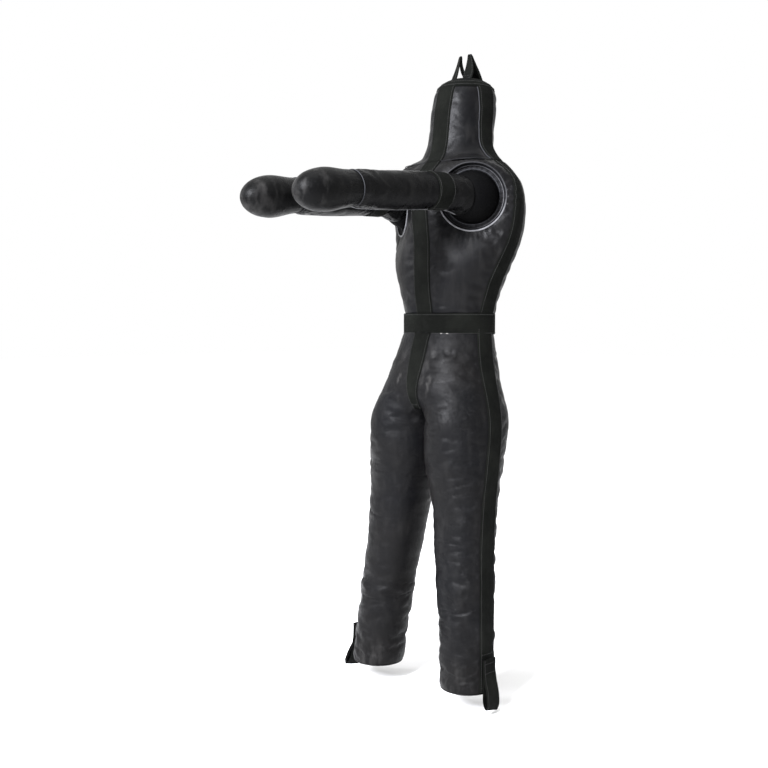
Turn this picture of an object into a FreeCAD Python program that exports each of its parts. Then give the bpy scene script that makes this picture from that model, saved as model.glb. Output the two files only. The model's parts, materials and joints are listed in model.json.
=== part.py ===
import FreeCAD, Part
import math
import os
from FreeCAD import Vector

# Grappling dummy: a stuffed leather figure that hangs from two webbing loops on its head.
# Millimetres, +Z up. It faces -Y and its left arm is on +X.
# Shapes are drawn with z = 0 at the leg ends, then moved so that the hook that holds the
# two loops is the origin.

# --- driving dimensions -------------------------------------------------------------
COVER = 2.5               # leather cover and webbing thickness
GAP = 2.0                 # running gap round a flexing joint
WEBBING_WIDTH = 58.0      # straps and belt

# Sections of the trunk and hood: height, half width, half depth, middle in y.
BODY_SECTIONS = [
    (560, 204, 130, -80),
    (650, 202, 134, -73),
    (700, 198, 136, -68),
    (755, 187, 134, -62),
    (820, 168, 128, -52),
    (885, 150, 120, -41),
    (940, 138, 112, -32),
    (1000, 136, 110, -25),
    (1055, 151, 119, -24),
    (1120, 175, 131, -15),
    (1190, 198, 142, -3),
    (1255, 209, 145, 2),
    (1320, 205, 139, 5),
    (1360, 188, 133, 7),
    (1395, 155, 119, 9),
    (1425, 117, 100, 14),
    (1450, 97, 96, 18),
    (1500, 86, 94, 23),
    (1560, 86, 96, 31),
    (1600, 84, 95, 37),
    (1625, 77, 88, 41),
    (1641, 61, 72, 42),
    (1650, 34, 40, 41),
]
# Sections of the left leg: height, middle in x, half width, half depth, middle in y.
LEG_SECTIONS = [
    (0, 165, 72, 72, -144),
    (120, 155, 74, 74, -134),
    (260, 141, 77, 78, -120),
    (400, 126, 81, 86, -106),
    (500, 116, 87, 97, -95),
    (600, 104, 98, 119, -82),
    (700, 100, 97, 132, -70),
    (760, 94, 91, 131, -63),
    (830, 84, 81, 125, -51),
]
LEG_SPLIT = 2.0           # half the space between the thighs
HEAD_SPAN, TRUNK_SPAN, HIP_SPAN = (1395, 1650), (885, 1560), (560, 1120)   # sections each is cut from

# Flexing joints across the trunk: axis along x at (y, z), dome radius.
NECK_Y, NECK_Z, NECK_DOME = 17.0, 1448.0, 91.0
WAIST_Y, WAIST_Z, WAIST_DOME = -25.0, 1001.0, 104.0
HIP_Y, HIP_Z, HIP_DOME = -68.0, 700.0, 129.0
NECK_FOLD, WAIST_FOLD, HIP_FOLD = 11.0, 11.0, 24.0   # half of each fold's opening, degrees

# Armhole: a round opening that looks forward and outward.
ARMHOLE_X, ARMHOLE_Y, ARMHOLE_Z = 128.0, -86.0, 1305.0
ARMHOLE_TURN = 36.0       # degrees from straight ahead
ARMHOLE_RADIUS = 91.0
ARMHOLE_DEPTH = 100.0     # how far the round boss runs into the chest
ARMHOLE_CLEAR = 60.0      # past anything in front of the armhole
GUSSET_RECESS = 12.0
PIPING_RADIUS = 3.0
ROOT_RADIUS = 70.0        # stuffed ball of the arm inside the armhole
ROOT_DEPTH = 15.0         # its centre behind the armhole

# Arm: from the root's centre to the wrist, nearly level and straight ahead.
WRIST_X, WRIST_Y, WRIST_Z = 101.0, -514.0, 1290.0
SLEEVE_ROOT_RADIUS, SLEEVE_WRIST_RADIUS = 48.0, 46.0
SLEEVE_START = 20.0       # inside the root ball, which trims it
SLEEVE_WRIST_GAP = 9.0    # between the sleeve's end and the wrist
BAND_START = 118.0        # webbing band round the arm, from the root's centre
WRIST_BALL = 41.0
MITT_LENGTH, MITT_RADIUS = 176.0, 52.0
MITT_CENTRE = 84.0        # from the wrist to the mitt's middle
MITT_DROOP = 5.0          # degrees that the mitt hangs below the arm's line

# Straps: a front strap lies ahead of FACE_Y, a side strap outside its own x.
FACE_Y = -20.0
HEAD_SIDE_X, TRUNK_SIDE_X, LEG_SIDE_X = 20.0, 60.0, 120.0
HEAD_SIDE_Y = 30.0        # middle of the head's side strap
BELT_LOW_Z = WAIST_Z - 6.0 - WEBBING_WIDTH           # its top edge is just below the waist fold
STRAP_TOP_Z = 1625.0      # where the head's straps reach the crown patch
TORSO_STRAP_LOW_Z = WAIST_Z - 1.0
TORSO_STRAP_HIGH_Z = NECK_Z - NECK_DOME / 4
ARMHOLE_MARGIN = 4.0      # space between the torso's side strap and the piping
# Middle lines of the side straps: y, z.
TORSO_SIDE_PATH = [(WAIST_Y, TORSO_STRAP_LOW_Z), (-20.0, 1080.0), (8.0, 1190.0), (NECK_Y, NECK_Z + NECK_DOME)]
HIP_SIDE_PATH = [(-64.0, HIP_Z), (-52.0, 860.0), (WAIST_Y, WAIST_Z), (WAIST_Y, WAIST_Z + WAIST_DOME)]
LEG_SIDE_PATH = [(-144.0, 1.0), (-95.0, 500.0), (-74.0, 660.0), (-64.0, HIP_Z + HIP_DOME)]

# Webbing loops
HANG_LOOP_X = 20.0
HANG_LOOP_WIDTH, HANG_LOOP_PINCH = 26.0, 10.0        # webbing width, and its width at the hook
HANG_LOOP_TURN = 7.0      # radius of its top round the hook
HANG_LOOP_FOOT = 37.0     # half the space between its two feet
HANG_LOOP_FOOT_Z = 1661.0
HANG_LOOP_TOP_Z = 1721.0
HANG_Y = 38.0
LEG_LOOP_TOP_Z, LEG_LOOP_LENGTH = 30.0, 76.0
LEG_LOOP_OPENING = 6.5    # half the space inside the loop
LEG_LOOP_PINCH = 1.5      # half the space between its two ends, where they are sewn together
LEG_LOOP_SEWN = 12.0      # length of the sewn part
LEG_LOOP_LEAN = 12.0      # degrees that it stands away from the leg
LEG_LOOP_WIDTH = 50.0

# Filling zip, upright on the upper back
ZIP_LOW_Z, ZIP_HIGH_Z = 1180.0, 1345.0
ZIP_TAPE_WIDTH = 34.0
ZIP_TAPE_Y = 144.0        # flat of the upper back that the tapes lie on
ZIP_TEETH_Y = ZIP_TAPE_Y + COVER
ZIP_SPLIT = 0.5           # half the space between the tapes
ZIP_TEETH_WIDTH, ZIP_TEETH_THICK, ZIP_TOOTH_HEIGHT = 6.0, 2.4, 1.8
ZIP_TOOTH_PITCH = 5.0
ZIP_TOOTH_OVERLAP = 0.8   # how far a tooth passes the middle
ZIP_TEETH_INSET = 5.0     # from each end of the tapes
SLIDER_TOP_Z = ZIP_HIGH_Z - 4.0
SLIDER_WIDTH, SLIDER_DEPTH, SLIDER_LENGTH = 11.0, 6.0, 14.0
SLIDER_LIFT = 0.4         # from the tapes
SLIDER_TUNNEL_WIDTH, SLIDER_TUNNEL_DEPTH = 7.2, 3.0
EYE_WIDTH, EYE_DEPTH, EYE_HEIGHT = 3.0, 3.0, 8.0
EYE_DROP = 3.0            # below the slider's top
PIN_Y, PIN_Z = ZIP_TEETH_Y + 7.6, SLIDER_TOP_Z - 7.0
PIN_RADIUS, PIN_HOLE_RADIUS = 1.0, 1.3
PULL_WIDTH, PULL_THICK, PULL_LENGTH = 9.0, 1.6, 34.0
PULL_EAR = 2.2            # width of each of the two ears on the pin
PULL_TAB_DROP = 13.0      # from the pin to the solid part of the pull

HOOK = Vector(0, HANG_Y, HANG_LOOP_TOP_Z - 4.0)
CAP_EDGE = 1.5            # rolled rim of the leg's end
REACH = 700.0             # longer than any section, for cutting solids


# --- helpers ------------------------------------------------------------------------
def ellipse_wire(z, x, half_x, half_y, y):
    """A level ellipse as a closed wire."""
    curve = Part.Circle(Vector(0, 0, 0), Vector(0, 0, 1), 1.0).toShape()
    matrix = FreeCAD.Matrix()
    matrix.scale(half_x, half_y, 1.0)
    matrix.move(Vector(x, y, z))
    return Part.Wire([curve.transformGeometry(matrix)])


def body_loft(low, high, inset):
    """Trunk or hood between two heights, drawn in by inset; a negative inset makes it larger."""
    wires = []
    for z, half_x, half_y, y in BODY_SECTIONS:
        if low <= z <= high:
            level = z - inset if z == BODY_SECTIONS[-1][0] else z
            wires.append(ellipse_wire(level, 0.0, half_x - inset, half_y - inset, y))
    return Part.makeLoft(wires, True, True)


def leg_loft(inset):
    wires = []
    for z, x, half_x, half_y, y in LEG_SECTIONS:
        wires.append(ellipse_wire(z, x, half_x - inset, half_y - inset, y))
    return Part.makeLoft(wires, True, True)


def block(x0, x1, y0, y1, z0, z1):
    return Part.makeBox(x1 - x0, y1 - y0, z1 - z0, Vector(x0, y0, z0))


def level_slab(z0, z1):
    """Everything between two heights."""
    return block(-REACH, REACH, -REACH, REACH, z0, z1)


def cross_cylinder(y, z, radius):
    """A long cylinder along x."""
    return Part.makeCylinder(radius, 2 * REACH, Vector(-REACH, y, z), Vector(1, 0, 0))


def prism_along_x(points, x0, x1):
    """Extrude a polygon of (y, z) points along x."""
    corners = [Vector(x0, y, z) for y, z in points]
    face = Part.Face(Part.makePolygon(corners + corners[:1]))
    return face.extrude(Vector(x1 - x0, 0, 0))


def prism_along_y(points, y0, y1):
    """Extrude a polygon of (x, z) points along y."""
    corners = [Vector(x, y0, z) for x, z in points]
    face = Part.Face(Part.makePolygon(corners + corners[:1]))
    return face.extrude(Vector(0, y1 - y0, 0))


def fold_wedges(y, z, half_angle, side):
    """The two notches of a fold, front and back, above (side 1) or below (side -1) its axis."""
    rise = side * REACH * math.tan(math.radians(half_angle))
    front = prism_along_x([(y, z), (y - REACH, z), (y - REACH, z + rise)], -REACH, REACH)
    back = prism_along_x([(y, z), (y + REACH, z), (y + REACH, z + rise)], -REACH, REACH)
    return front.fuse(back)


def above_fold(y, z, dome, fold):
    """Space of the piece above a fold: hollowed for the dome below it."""
    space = level_slab(z, z + 3 * REACH)
    space = space.cut(cross_cylinder(y, z, dome + GAP))
    return space.cut(fold_wedges(y, z, fold, 1))


def below_fold(y, z, dome, fold):
    """Space of the piece below a fold: it ends in a dome round the fold's axis."""
    space = level_slab(z - 3 * REACH, z)
    space = space.cut(fold_wedges(y, z, fold, -1))
    return space.fuse(cross_cylinder(y, z, dome))


def mirrored(shape):
    """The same piece on the other side of the body."""
    return shape.mirror(Vector(0, 0, 0), Vector(1, 0, 0))


def ribbon(path, thickness, width, axis):
    """Webbing along a flat path of (a, z) points, where a is x or y; its width is along axis."""
    half = thickness / 2
    left = []
    right = []
    last = len(path) - 1
    for i, (a, z) in enumerate(path):
        before = path[max(i - 1, 0)]
        after = path[min(i + 1, last)]
        run, rise = after[0] - before[0], after[1] - before[1]
        length = math.hypot(run, rise)
        side_a, side_z = -rise / length * half, run / length * half
        left.append((a + side_a, z + side_z))
        right.append((a - side_a, z - side_z))
    outline = left + right[::-1]
    if axis == "x":
        return prism_along_x(outline, -width / 2, width / 2)
    return prism_along_y(outline, -width / 2, width / 2)


def save(name, shape):
    """Write one piece, moved so that the hook is the origin."""
    piece = shape.copy()
    piece.translate(-HOOK)
    solids = piece.Solids
    piece = solids[0] if len(solids) == 1 else Part.makeCompound(solids)
    piece.exportStep("parts/" + name + ".step")
    print(name, len(solids), round(piece.Volume / 1000.0, 1), "cm3", piece.isValid())


def save_pair(name, shape):
    save(name + "_left", shape)
    save(name + "_right", mirrored(shape))


# --- shared shapes ------------------------------------------------------------------
HEAD_SPACE = above_fold(NECK_Y, NECK_Z, NECK_DOME, NECK_FOLD)
TORSO_SPACE = below_fold(NECK_Y, NECK_Z, NECK_DOME, NECK_FOLD).common(
    above_fold(WAIST_Y, WAIST_Z, WAIST_DOME, WAIST_FOLD))
HIP_SPACE = below_fold(WAIST_Y, WAIST_Z, WAIST_DOME, WAIST_FOLD).common(
    above_fold(HIP_Y, HIP_Z, HIP_DOME, HIP_FOLD))

TURN = math.radians(ARMHOLE_TURN)
ARMHOLE = Vector(ARMHOLE_X, ARMHOLE_Y, ARMHOLE_Z)
ARMHOLE_OUT = Vector(math.sin(TURN), -math.cos(TURN), 0)
ROOT = ARMHOLE - ARMHOLE_OUT * ROOT_DEPTH
WRIST = Vector(WRIST_X, WRIST_Y, WRIST_Z)
ARM = (WRIST - ROOT).normalize()
ARM_LENGTH = (WRIST - ROOT).Length
MITT = (ARM - Vector(0, 0, math.tan(math.radians(MITT_DROOP)))).normalize()
MITT_MIDDLE = WRIST + MITT * MITT_CENTRE


def disc(radius, back, front):
    """A round slab on the armhole's axis, between two depths in front of its plane."""
    return Part.makeCylinder(radius, front - back, ARMHOLE + ARMHOLE_OUT * back, ARMHOLE_OUT)


def root_ball(radius):
    """A ball in the armhole, its axis along the armhole's so that it trims cleanly."""
    return Part.makeSphere(radius, ROOT, ARMHOLE_OUT)


def both_sides(shape):
    return shape.fuse(mirrored(shape))


def head_solid(inset):
    return body_loft(*HEAD_SPAN, inset).common(HEAD_SPACE)


def trunk_solid(inset):
    return body_loft(*TRUNK_SPAN, inset).common(TORSO_SPACE)


def hip_solid(inset):
    return body_loft(*HIP_SPAN, inset).common(HIP_SPACE)


HEAD_OUTER, HEAD_INNER = head_solid(0.0), head_solid(COVER)
TRUNK_OUTER, TRUNK_INNER = trunk_solid(0.0), trunk_solid(COVER)
HIP_OUTER, HIP_INNER = hip_solid(0.0), hip_solid(COVER)


# --- head ---------------------------------------------------------------------------
def head_cover():
    return HEAD_OUTER.cut(HEAD_INNER)


def head_filling():
    return HEAD_INNER


def on_head(space):
    """Webbing over the head's cover, inside the given space."""
    return head_solid(-COVER).common(space).cut(HEAD_OUTER)


def front_strap_space(z0, z1):
    half = WEBBING_WIDTH / 2
    return block(-half, half, -REACH, FACE_Y, z0, z1)


def side_strap_space(path, x):
    """Space outside x for webbing along a middle line of (y, z) points."""
    half = WEBBING_WIDTH / 2
    front = [(y - half, z) for y, z in path]
    back = [(y + half, z) for y, z in reversed(path)]
    return prism_along_x(front + back, x, REACH)


def head_front_strap():
    """Webbing up the middle of the face, to the patch on the crown."""
    return on_head(front_strap_space(NECK_Z, STRAP_TOP_Z))


def head_side_strap():
    path = [(HEAD_SIDE_Y, NECK_Z), (HEAD_SIDE_Y, STRAP_TOP_Z)]
    return on_head(side_strap_space(path, HEAD_SIDE_X))


def crown_patch():
    """Webbing patch that the straps and the two loops are sewn to, moulded to the crown."""
    return on_head(level_slab(STRAP_TOP_Z + GAP, 3 * REACH))


def hang_loop():
    """An upright pointed loop of webbing, its feet in front of and behind the crown's middle."""
    half = COVER / 2
    top = HANG_LOOP_TOP_Z - half - HANG_LOOP_TURN
    foot = HANG_LOOP_FOOT - half
    lean = math.atan2(foot - HANG_LOOP_TURN, top - HANG_LOOP_FOOT_Z)
    path = [(HANG_Y - foot, HANG_LOOP_FOOT_Z)]
    steps = 8
    for i in range(steps + 1):
        angle = math.pi - lean - (math.pi - 2 * lean) * i / steps
        across, up = HANG_LOOP_TURN * math.cos(angle), HANG_LOOP_TURN * math.sin(angle)
        path.append((HANG_Y + across, top + up))
    path.append((HANG_Y + foot, HANG_LOOP_FOOT_Z))
    loop = ribbon(path, COVER, HANG_LOOP_WIDTH, "x")
    wide, narrow = HANG_LOOP_WIDTH / 2, HANG_LOOP_PINCH / 2
    base, tip = HANG_LOOP_FOOT_Z - 2 * COVER, HANG_LOOP_TOP_Z + 1.0
    corners = [(-wide, base), (wide, base), (narrow, tip), (-narrow, tip)]
    loop = loop.common(prism_along_y(corners, -REACH, REACH))
    loop.translate(Vector(HANG_LOOP_X, 0, 0))
    return loop


# --- torso --------------------------------------------------------------------------
def torso_solid(inset, recess):
    """Trunk with the two round armhole bosses; recess sets the boss's front back."""
    boss = disc(ARMHOLE_RADIUS - inset, -ARMHOLE_DEPTH, -recess)
    trunk = TRUNK_OUTER if inset == 0.0 else TRUNK_INNER
    return trunk.fuse(both_sides(boss))


def armhole_cut():
    """Space in front of the gusset, and round the arm's root ball."""
    front = disc(ARMHOLE_RADIUS - COVER, -GUSSET_RECESS, ARMHOLE_CLEAR)
    return both_sides(front.fuse(root_ball(ROOT_RADIUS + GAP)))


def torso_filling():
    body = torso_solid(COVER, GUSSET_RECESS + COVER)
    return body.cut(armhole_cut()).cut(zip_recess())


def torso_cover():
    body = torso_solid(0.0, 0.0)
    inside = torso_solid(COVER, GUSSET_RECESS + COVER)
    gusset_space = both_sides(disc(ARMHOLE_RADIUS - COVER, -GUSSET_RECESS - COVER, ARMHOLE_CLEAR))
    return body.cut(inside).cut(gusset_space).cut(armhole_cut()).cut(zip_recess())


def armhole_gusset():
    """Cloth ring between the armhole and the arm's root."""
    ring = disc(ARMHOLE_RADIUS - COVER, -GUSSET_RECESS - COVER, -GUSSET_RECESS)
    return ring.cut(root_ball(ROOT_RADIUS + GAP))


def armhole_piping():
    """Half-round cord on the armhole's edge."""
    cord = Part.makeTorus(ARMHOLE_RADIUS, PIPING_RADIUS, ARMHOLE, ARMHOLE_OUT)
    return cord.cut(disc(2 * ARMHOLE_RADIUS, -2 * PIPING_RADIUS, 0.0))


def on_torso(space):
    return trunk_solid(-COVER).common(space).cut(TRUNK_OUTER)


def torso_front_strap():
    return on_torso(front_strap_space(WAIST_Z, TORSO_STRAP_HIGH_Z))


def torso_side_strap():
    """Webbing up the flank, behind the armhole and over the shoulder to the neck."""
    strap = on_torso(side_strap_space(TORSO_SIDE_PATH, TRUNK_SIDE_X))
    return strap.cut(disc(ARMHOLE_RADIUS + ARMHOLE_MARGIN, -ARMHOLE_CLEAR, 3 * PIPING_RADIUS))


def zip_recess():
    """Flattens the upper back where the zip is sewn in."""
    half = ZIP_TAPE_WIDTH / 2
    return block(-half, half, ZIP_TAPE_Y, REACH, ZIP_LOW_Z, ZIP_HIGH_Z)


def zip_tapes():
    half = ZIP_TAPE_WIDTH / 2
    tapes = []
    for x0, x1 in ((-half, -ZIP_SPLIT), (ZIP_SPLIT, half)):
        tapes.append(block(x0, x1, ZIP_TAPE_Y, ZIP_TEETH_Y, ZIP_LOW_Z, ZIP_HIGH_Z))
    return Part.makeCompound(tapes)


def zip_tooth(x0, x1, z):
    return block(x0, x1, ZIP_TEETH_Y, ZIP_TEETH_Y + ZIP_TEETH_THICK, z, z + ZIP_TOOTH_HEIGHT)


def zip_teeth():
    """Two rows of teeth, meeting like fingers, up the middle of the tapes."""
    half = ZIP_TEETH_WIDTH / 2
    count = int((ZIP_HIGH_Z - ZIP_LOW_Z - 2 * ZIP_TEETH_INSET) / ZIP_TOOTH_PITCH)
    teeth = []
    for i in range(count):
        z = ZIP_LOW_Z + ZIP_TEETH_INSET + i * ZIP_TOOTH_PITCH
        teeth.append(zip_tooth(-half, ZIP_TOOTH_OVERLAP, z))
        teeth.append(zip_tooth(-ZIP_TOOTH_OVERLAP, half, z + ZIP_TOOTH_PITCH / 2))
    return Part.makeCompound(teeth)


def pin(radius, length):
    """Round bar along x through the slider's eye."""
    return Part.makeCylinder(radius, length, Vector(-length / 2, PIN_Y, PIN_Z), Vector(1, 0, 0))


def zip_slider():
    """Small metal body round the teeth, parked at the top of the zip."""
    half, tunnel = SLIDER_WIDTH / 2, SLIDER_TUNNEL_WIDTH / 2
    face = ZIP_TEETH_Y + SLIDER_DEPTH
    low = SLIDER_TOP_Z - SLIDER_LENGTH
    body = block(-half, half, ZIP_TEETH_Y + SLIDER_LIFT, face, low, SLIDER_TOP_Z)
    body = body.cut(block(-tunnel, tunnel, ZIP_TEETH_Y, ZIP_TEETH_Y + SLIDER_TUNNEL_DEPTH,
                          low - EYE_DROP, SLIDER_TOP_Z + EYE_DROP))
    eye_top = SLIDER_TOP_Z - EYE_DROP
    eye = block(-EYE_WIDTH / 2, EYE_WIDTH / 2, face, face + EYE_DEPTH, eye_top - EYE_HEIGHT, eye_top)
    return body.fuse(eye).cut(pin(PIN_HOLE_RADIUS, 2 * SLIDER_WIDTH))


def zip_pull():
    """Flat tab that hangs from the slider's eye on a small pin."""
    half = PULL_WIDTH / 2
    back, front = PIN_Y - PULL_THICK / 2, PIN_Y + PULL_THICK / 2
    foot = PIN_Z - PULL_TAB_DROP
    pull = block(-half, half, back, front, PIN_Z - PULL_LENGTH, foot)
    for x in (-half, half - PULL_EAR):
        pull = pull.fuse(block(x, x + PULL_EAR, back, front, foot - PULL_THICK, PIN_Z))
    return pull.fuse(pin(PIN_RADIUS, PULL_WIDTH))


# --- arms ---------------------------------------------------------------------------
def arm_root():
    return root_ball(ROOT_RADIUS)


def arm_tube(grow, start, end):
    """The arm's round shape between two distances from the root's centre."""
    slope = (SLEEVE_WRIST_RADIUS - SLEEVE_ROOT_RADIUS) / ARM_LENGTH
    r0 = SLEEVE_ROOT_RADIUS + slope * start + grow
    r1 = SLEEVE_ROOT_RADIUS + slope * end + grow
    return Part.makeCone(r0, r1, end - start, ROOT + ARM * start, ARM)


def arm_ends():
    """Hollows for the root ball and for the mitt's round neck."""
    root = Part.makeSphere(ROOT_RADIUS + GAP, ROOT)
    return root.fuse(Part.makeSphere(WRIST_BALL + GAP, WRIST))


def arm_filling():
    return arm_tube(-COVER, SLEEVE_START, ARM_LENGTH - SLEEVE_WRIST_GAP).cut(arm_ends())


def arm_sleeve():
    end = ARM_LENGTH - SLEEVE_WRIST_GAP
    inside = arm_tube(-COVER, 0.0, end + COVER)
    return arm_tube(0.0, SLEEVE_START, end).cut(inside).cut(arm_ends())


def arm_band():
    end = BAND_START + WEBBING_WIDTH
    return arm_tube(COVER, BAND_START, end).cut(arm_tube(0.0, BAND_START - COVER, end + COVER))


def mitt_solid(inset):
    """A long egg with a round neck at the wrist."""
    egg = Part.makeSphere(1.0)
    matrix = FreeCAD.Matrix()
    radius = MITT_RADIUS - inset
    matrix.scale(radius, radius, MITT_LENGTH / 2 - inset)
    egg = egg.transformGeometry(matrix)
    egg.Placement = FreeCAD.Placement(MITT_MIDDLE, FreeCAD.Rotation(Vector(0, 0, 1), MITT))
    return egg.fuse(Part.makeSphere(WRIST_BALL - inset, WRIST))


def mitt_cover():
    return mitt_solid(0.0).cut(mitt_solid(COVER))


def mitt_filling():
    return mitt_solid(COVER)


# --- hips and belt ------------------------------------------------------------------
def hip_cover():
    return HIP_OUTER.cut(HIP_INNER)


def hip_filling():
    return HIP_INNER


def on_hips(space):
    return hip_solid(-COVER).common(space).cut(HIP_OUTER)


def waist_belt():
    """Webbing round the waist, just below its fold."""
    return on_hips(level_slab(BELT_LOW_Z, BELT_LOW_Z + WEBBING_WIDTH))


def hip_front_strap():
    return on_hips(front_strap_space(HIP_Z, BELT_LOW_Z))


def hip_side_strap():
    strap = on_hips(side_strap_space(HIP_SIDE_PATH, TRUNK_SIDE_X))
    return strap.cut(level_slab(BELT_LOW_Z, BELT_LOW_Z + WEBBING_WIDTH))


# --- legs ---------------------------------------------------------------------------
def leg_space(inset):
    """Room for one leg: its dome at the hip and its flat side next to the other thigh."""
    space = below_fold(HIP_Y, HIP_Z, HIP_DOME - inset, HIP_FOLD)
    return space.common(block(LEG_SPLIT + inset, REACH, -REACH, REACH, -REACH, HIP_Z + HIP_DOME))


def leg_solid(inset):
    return leg_loft(inset).common(leg_space(inset))


LEG_OUTER, LEG_INNER = leg_solid(0.0), leg_solid(COVER)


def leg_cover():
    return LEG_OUTER.cut(LEG_INNER)


def leg_filling():
    return LEG_INNER


def leg_end_cap():
    """Round leather sole with a rolled edge."""
    x, radius, y = LEG_SECTIONS[0][1], LEG_SECTIONS[0][2], LEG_SECTIONS[0][4]
    cap = Part.makeCylinder(radius, COVER, Vector(x, y, -COVER))
    return cap.makeFillet(CAP_EDGE, [cap.Edges[2]])


def leg_side_strap():
    """Webbing down the outside of the leg, from the hip to the leg's end."""
    strap = leg_loft(-COVER).common(side_strap_space(LEG_SIDE_PATH, LEG_SIDE_X))
    return strap.common(leg_space(0.0)).cut(LEG_OUTER)


def leg_loop():
    """A drooping loop of the side strap's webbing, at the leg's outer edge."""
    x, half_x, y = LEG_SECTIONS[0][1], LEG_SECTIONS[0][2], LEG_SECTIONS[0][4]
    hinge_x = x + half_x + LEG_LOOP_OPENING
    turn_z = LEG_LOOP_TOP_Z - LEG_LOOP_LENGTH + LEG_LOOP_OPENING
    sewn_z = LEG_LOOP_TOP_Z - LEG_LOOP_SEWN
    path = [(-LEG_LOOP_PINCH, LEG_LOOP_TOP_Z), (-LEG_LOOP_PINCH, sewn_z)]
    steps = 10
    for i in range(steps + 1):
        angle = math.pi * (1 + i / steps)
        across, up = LEG_LOOP_OPENING * math.cos(angle), LEG_LOOP_OPENING * math.sin(angle)
        path.append((across, turn_z + up))
    path += [(LEG_LOOP_PINCH, sewn_z), (LEG_LOOP_PINCH, LEG_LOOP_TOP_Z)]
    loop = ribbon(path, COVER, LEG_LOOP_WIDTH, "y")
    loop.rotate(Vector(0, 0, LEG_LOOP_TOP_Z), Vector(0, 1, 0), -LEG_LOOP_LEAN)
    loop.translate(Vector(hinge_x, y, 0))
    return loop


def main():
    os.makedirs("parts", exist_ok=True)
    save("head_cover", head_cover())
    save("head_filling", head_filling())
    save("head_front_strap", head_front_strap())
    save_pair("head_side_strap", head_side_strap())
    save("crown_patch", crown_patch())
    save_pair("hang_loop", hang_loop())
    save("torso_cover", torso_cover())
    save("torso_filling", torso_filling())
    save_pair("armhole_gusset", armhole_gusset())
    save_pair("armhole_piping", armhole_piping())
    save("torso_front_strap", torso_front_strap())
    save_pair("torso_side_strap", torso_side_strap())
    save("zip_tapes", zip_tapes())
    save("zip_teeth", zip_teeth())
    save("zip_slider", zip_slider())
    save("zip_pull", zip_pull())
    save_pair("arm_root", arm_root())
    save_pair("arm_sleeve", arm_sleeve())
    save_pair("arm_filling", arm_filling())
    save_pair("arm_band", arm_band())
    save_pair("mitt_cover", mitt_cover())
    save_pair("mitt_filling", mitt_filling())
    save("hip_cover", hip_cover())
    save("hip_filling", hip_filling())
    save("waist_belt", waist_belt())
    save("hip_front_strap", hip_front_strap())
    save_pair("hip_side_strap", hip_side_strap())
    save_pair("leg_cover", leg_cover())
    save_pair("leg_filling", leg_filling())
    save_pair("leg_end_cap", leg_end_cap())
    save_pair("leg_side_strap", leg_side_strap())
    save_pair("leg_loop", leg_loop())


main()
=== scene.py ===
import json
import math
import bpy
import numpy as np
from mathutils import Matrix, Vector, noise
from mathutils.bvhtree import BVHTree


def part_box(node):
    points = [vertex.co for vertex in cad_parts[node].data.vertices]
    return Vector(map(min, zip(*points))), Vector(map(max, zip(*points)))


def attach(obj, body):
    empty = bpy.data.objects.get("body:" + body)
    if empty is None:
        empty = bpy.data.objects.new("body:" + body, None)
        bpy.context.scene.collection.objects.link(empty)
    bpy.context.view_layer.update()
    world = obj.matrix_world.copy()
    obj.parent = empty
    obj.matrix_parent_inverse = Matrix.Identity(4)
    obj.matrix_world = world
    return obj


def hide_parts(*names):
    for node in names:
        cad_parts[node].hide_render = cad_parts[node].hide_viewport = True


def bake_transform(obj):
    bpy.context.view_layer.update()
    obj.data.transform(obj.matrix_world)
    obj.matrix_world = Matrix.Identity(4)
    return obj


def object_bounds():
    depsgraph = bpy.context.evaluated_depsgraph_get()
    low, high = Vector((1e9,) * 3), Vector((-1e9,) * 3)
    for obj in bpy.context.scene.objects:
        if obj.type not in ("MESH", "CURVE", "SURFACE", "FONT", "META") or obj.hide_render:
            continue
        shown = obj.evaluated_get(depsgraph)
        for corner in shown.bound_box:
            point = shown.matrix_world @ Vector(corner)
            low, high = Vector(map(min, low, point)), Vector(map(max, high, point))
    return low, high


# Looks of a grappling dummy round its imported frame.
# Metres, +Z up; it faces -Y, its left arm is on +X. Stuffed leather panels are puffed by a cloth
# simulation, then get creases. Webbing, cords and stitches are laid on the final leather.

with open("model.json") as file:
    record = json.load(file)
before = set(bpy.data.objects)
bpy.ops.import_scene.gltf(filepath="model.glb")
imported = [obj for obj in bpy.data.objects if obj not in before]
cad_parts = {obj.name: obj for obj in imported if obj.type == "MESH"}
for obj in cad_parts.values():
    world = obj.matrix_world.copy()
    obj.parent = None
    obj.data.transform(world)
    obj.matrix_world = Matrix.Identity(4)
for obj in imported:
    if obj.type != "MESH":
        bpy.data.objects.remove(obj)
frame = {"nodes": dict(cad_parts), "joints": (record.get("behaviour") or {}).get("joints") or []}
cad_box = [[float(v) for v in corner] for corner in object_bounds()]

# --- places from the frame ----------------------------------------------------------
LEG_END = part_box("leg_cover_left")[0].z
JOINTS = {joint["name"]: joint for joint in frame["joints"]}
SIDES = (("left", 1.0), ("right", -1.0))


def joint_at(name):
    return np.array(JOINTS[name]["pos_m"], float)


def up(height):
    """Row z of a height above the leg ends."""
    return LEG_END + height


# --- driving dimensions -------------------------------------------------------------
WEBBING = 0.058           # strap and belt width
STRAP_THICK = 0.0024

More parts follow.
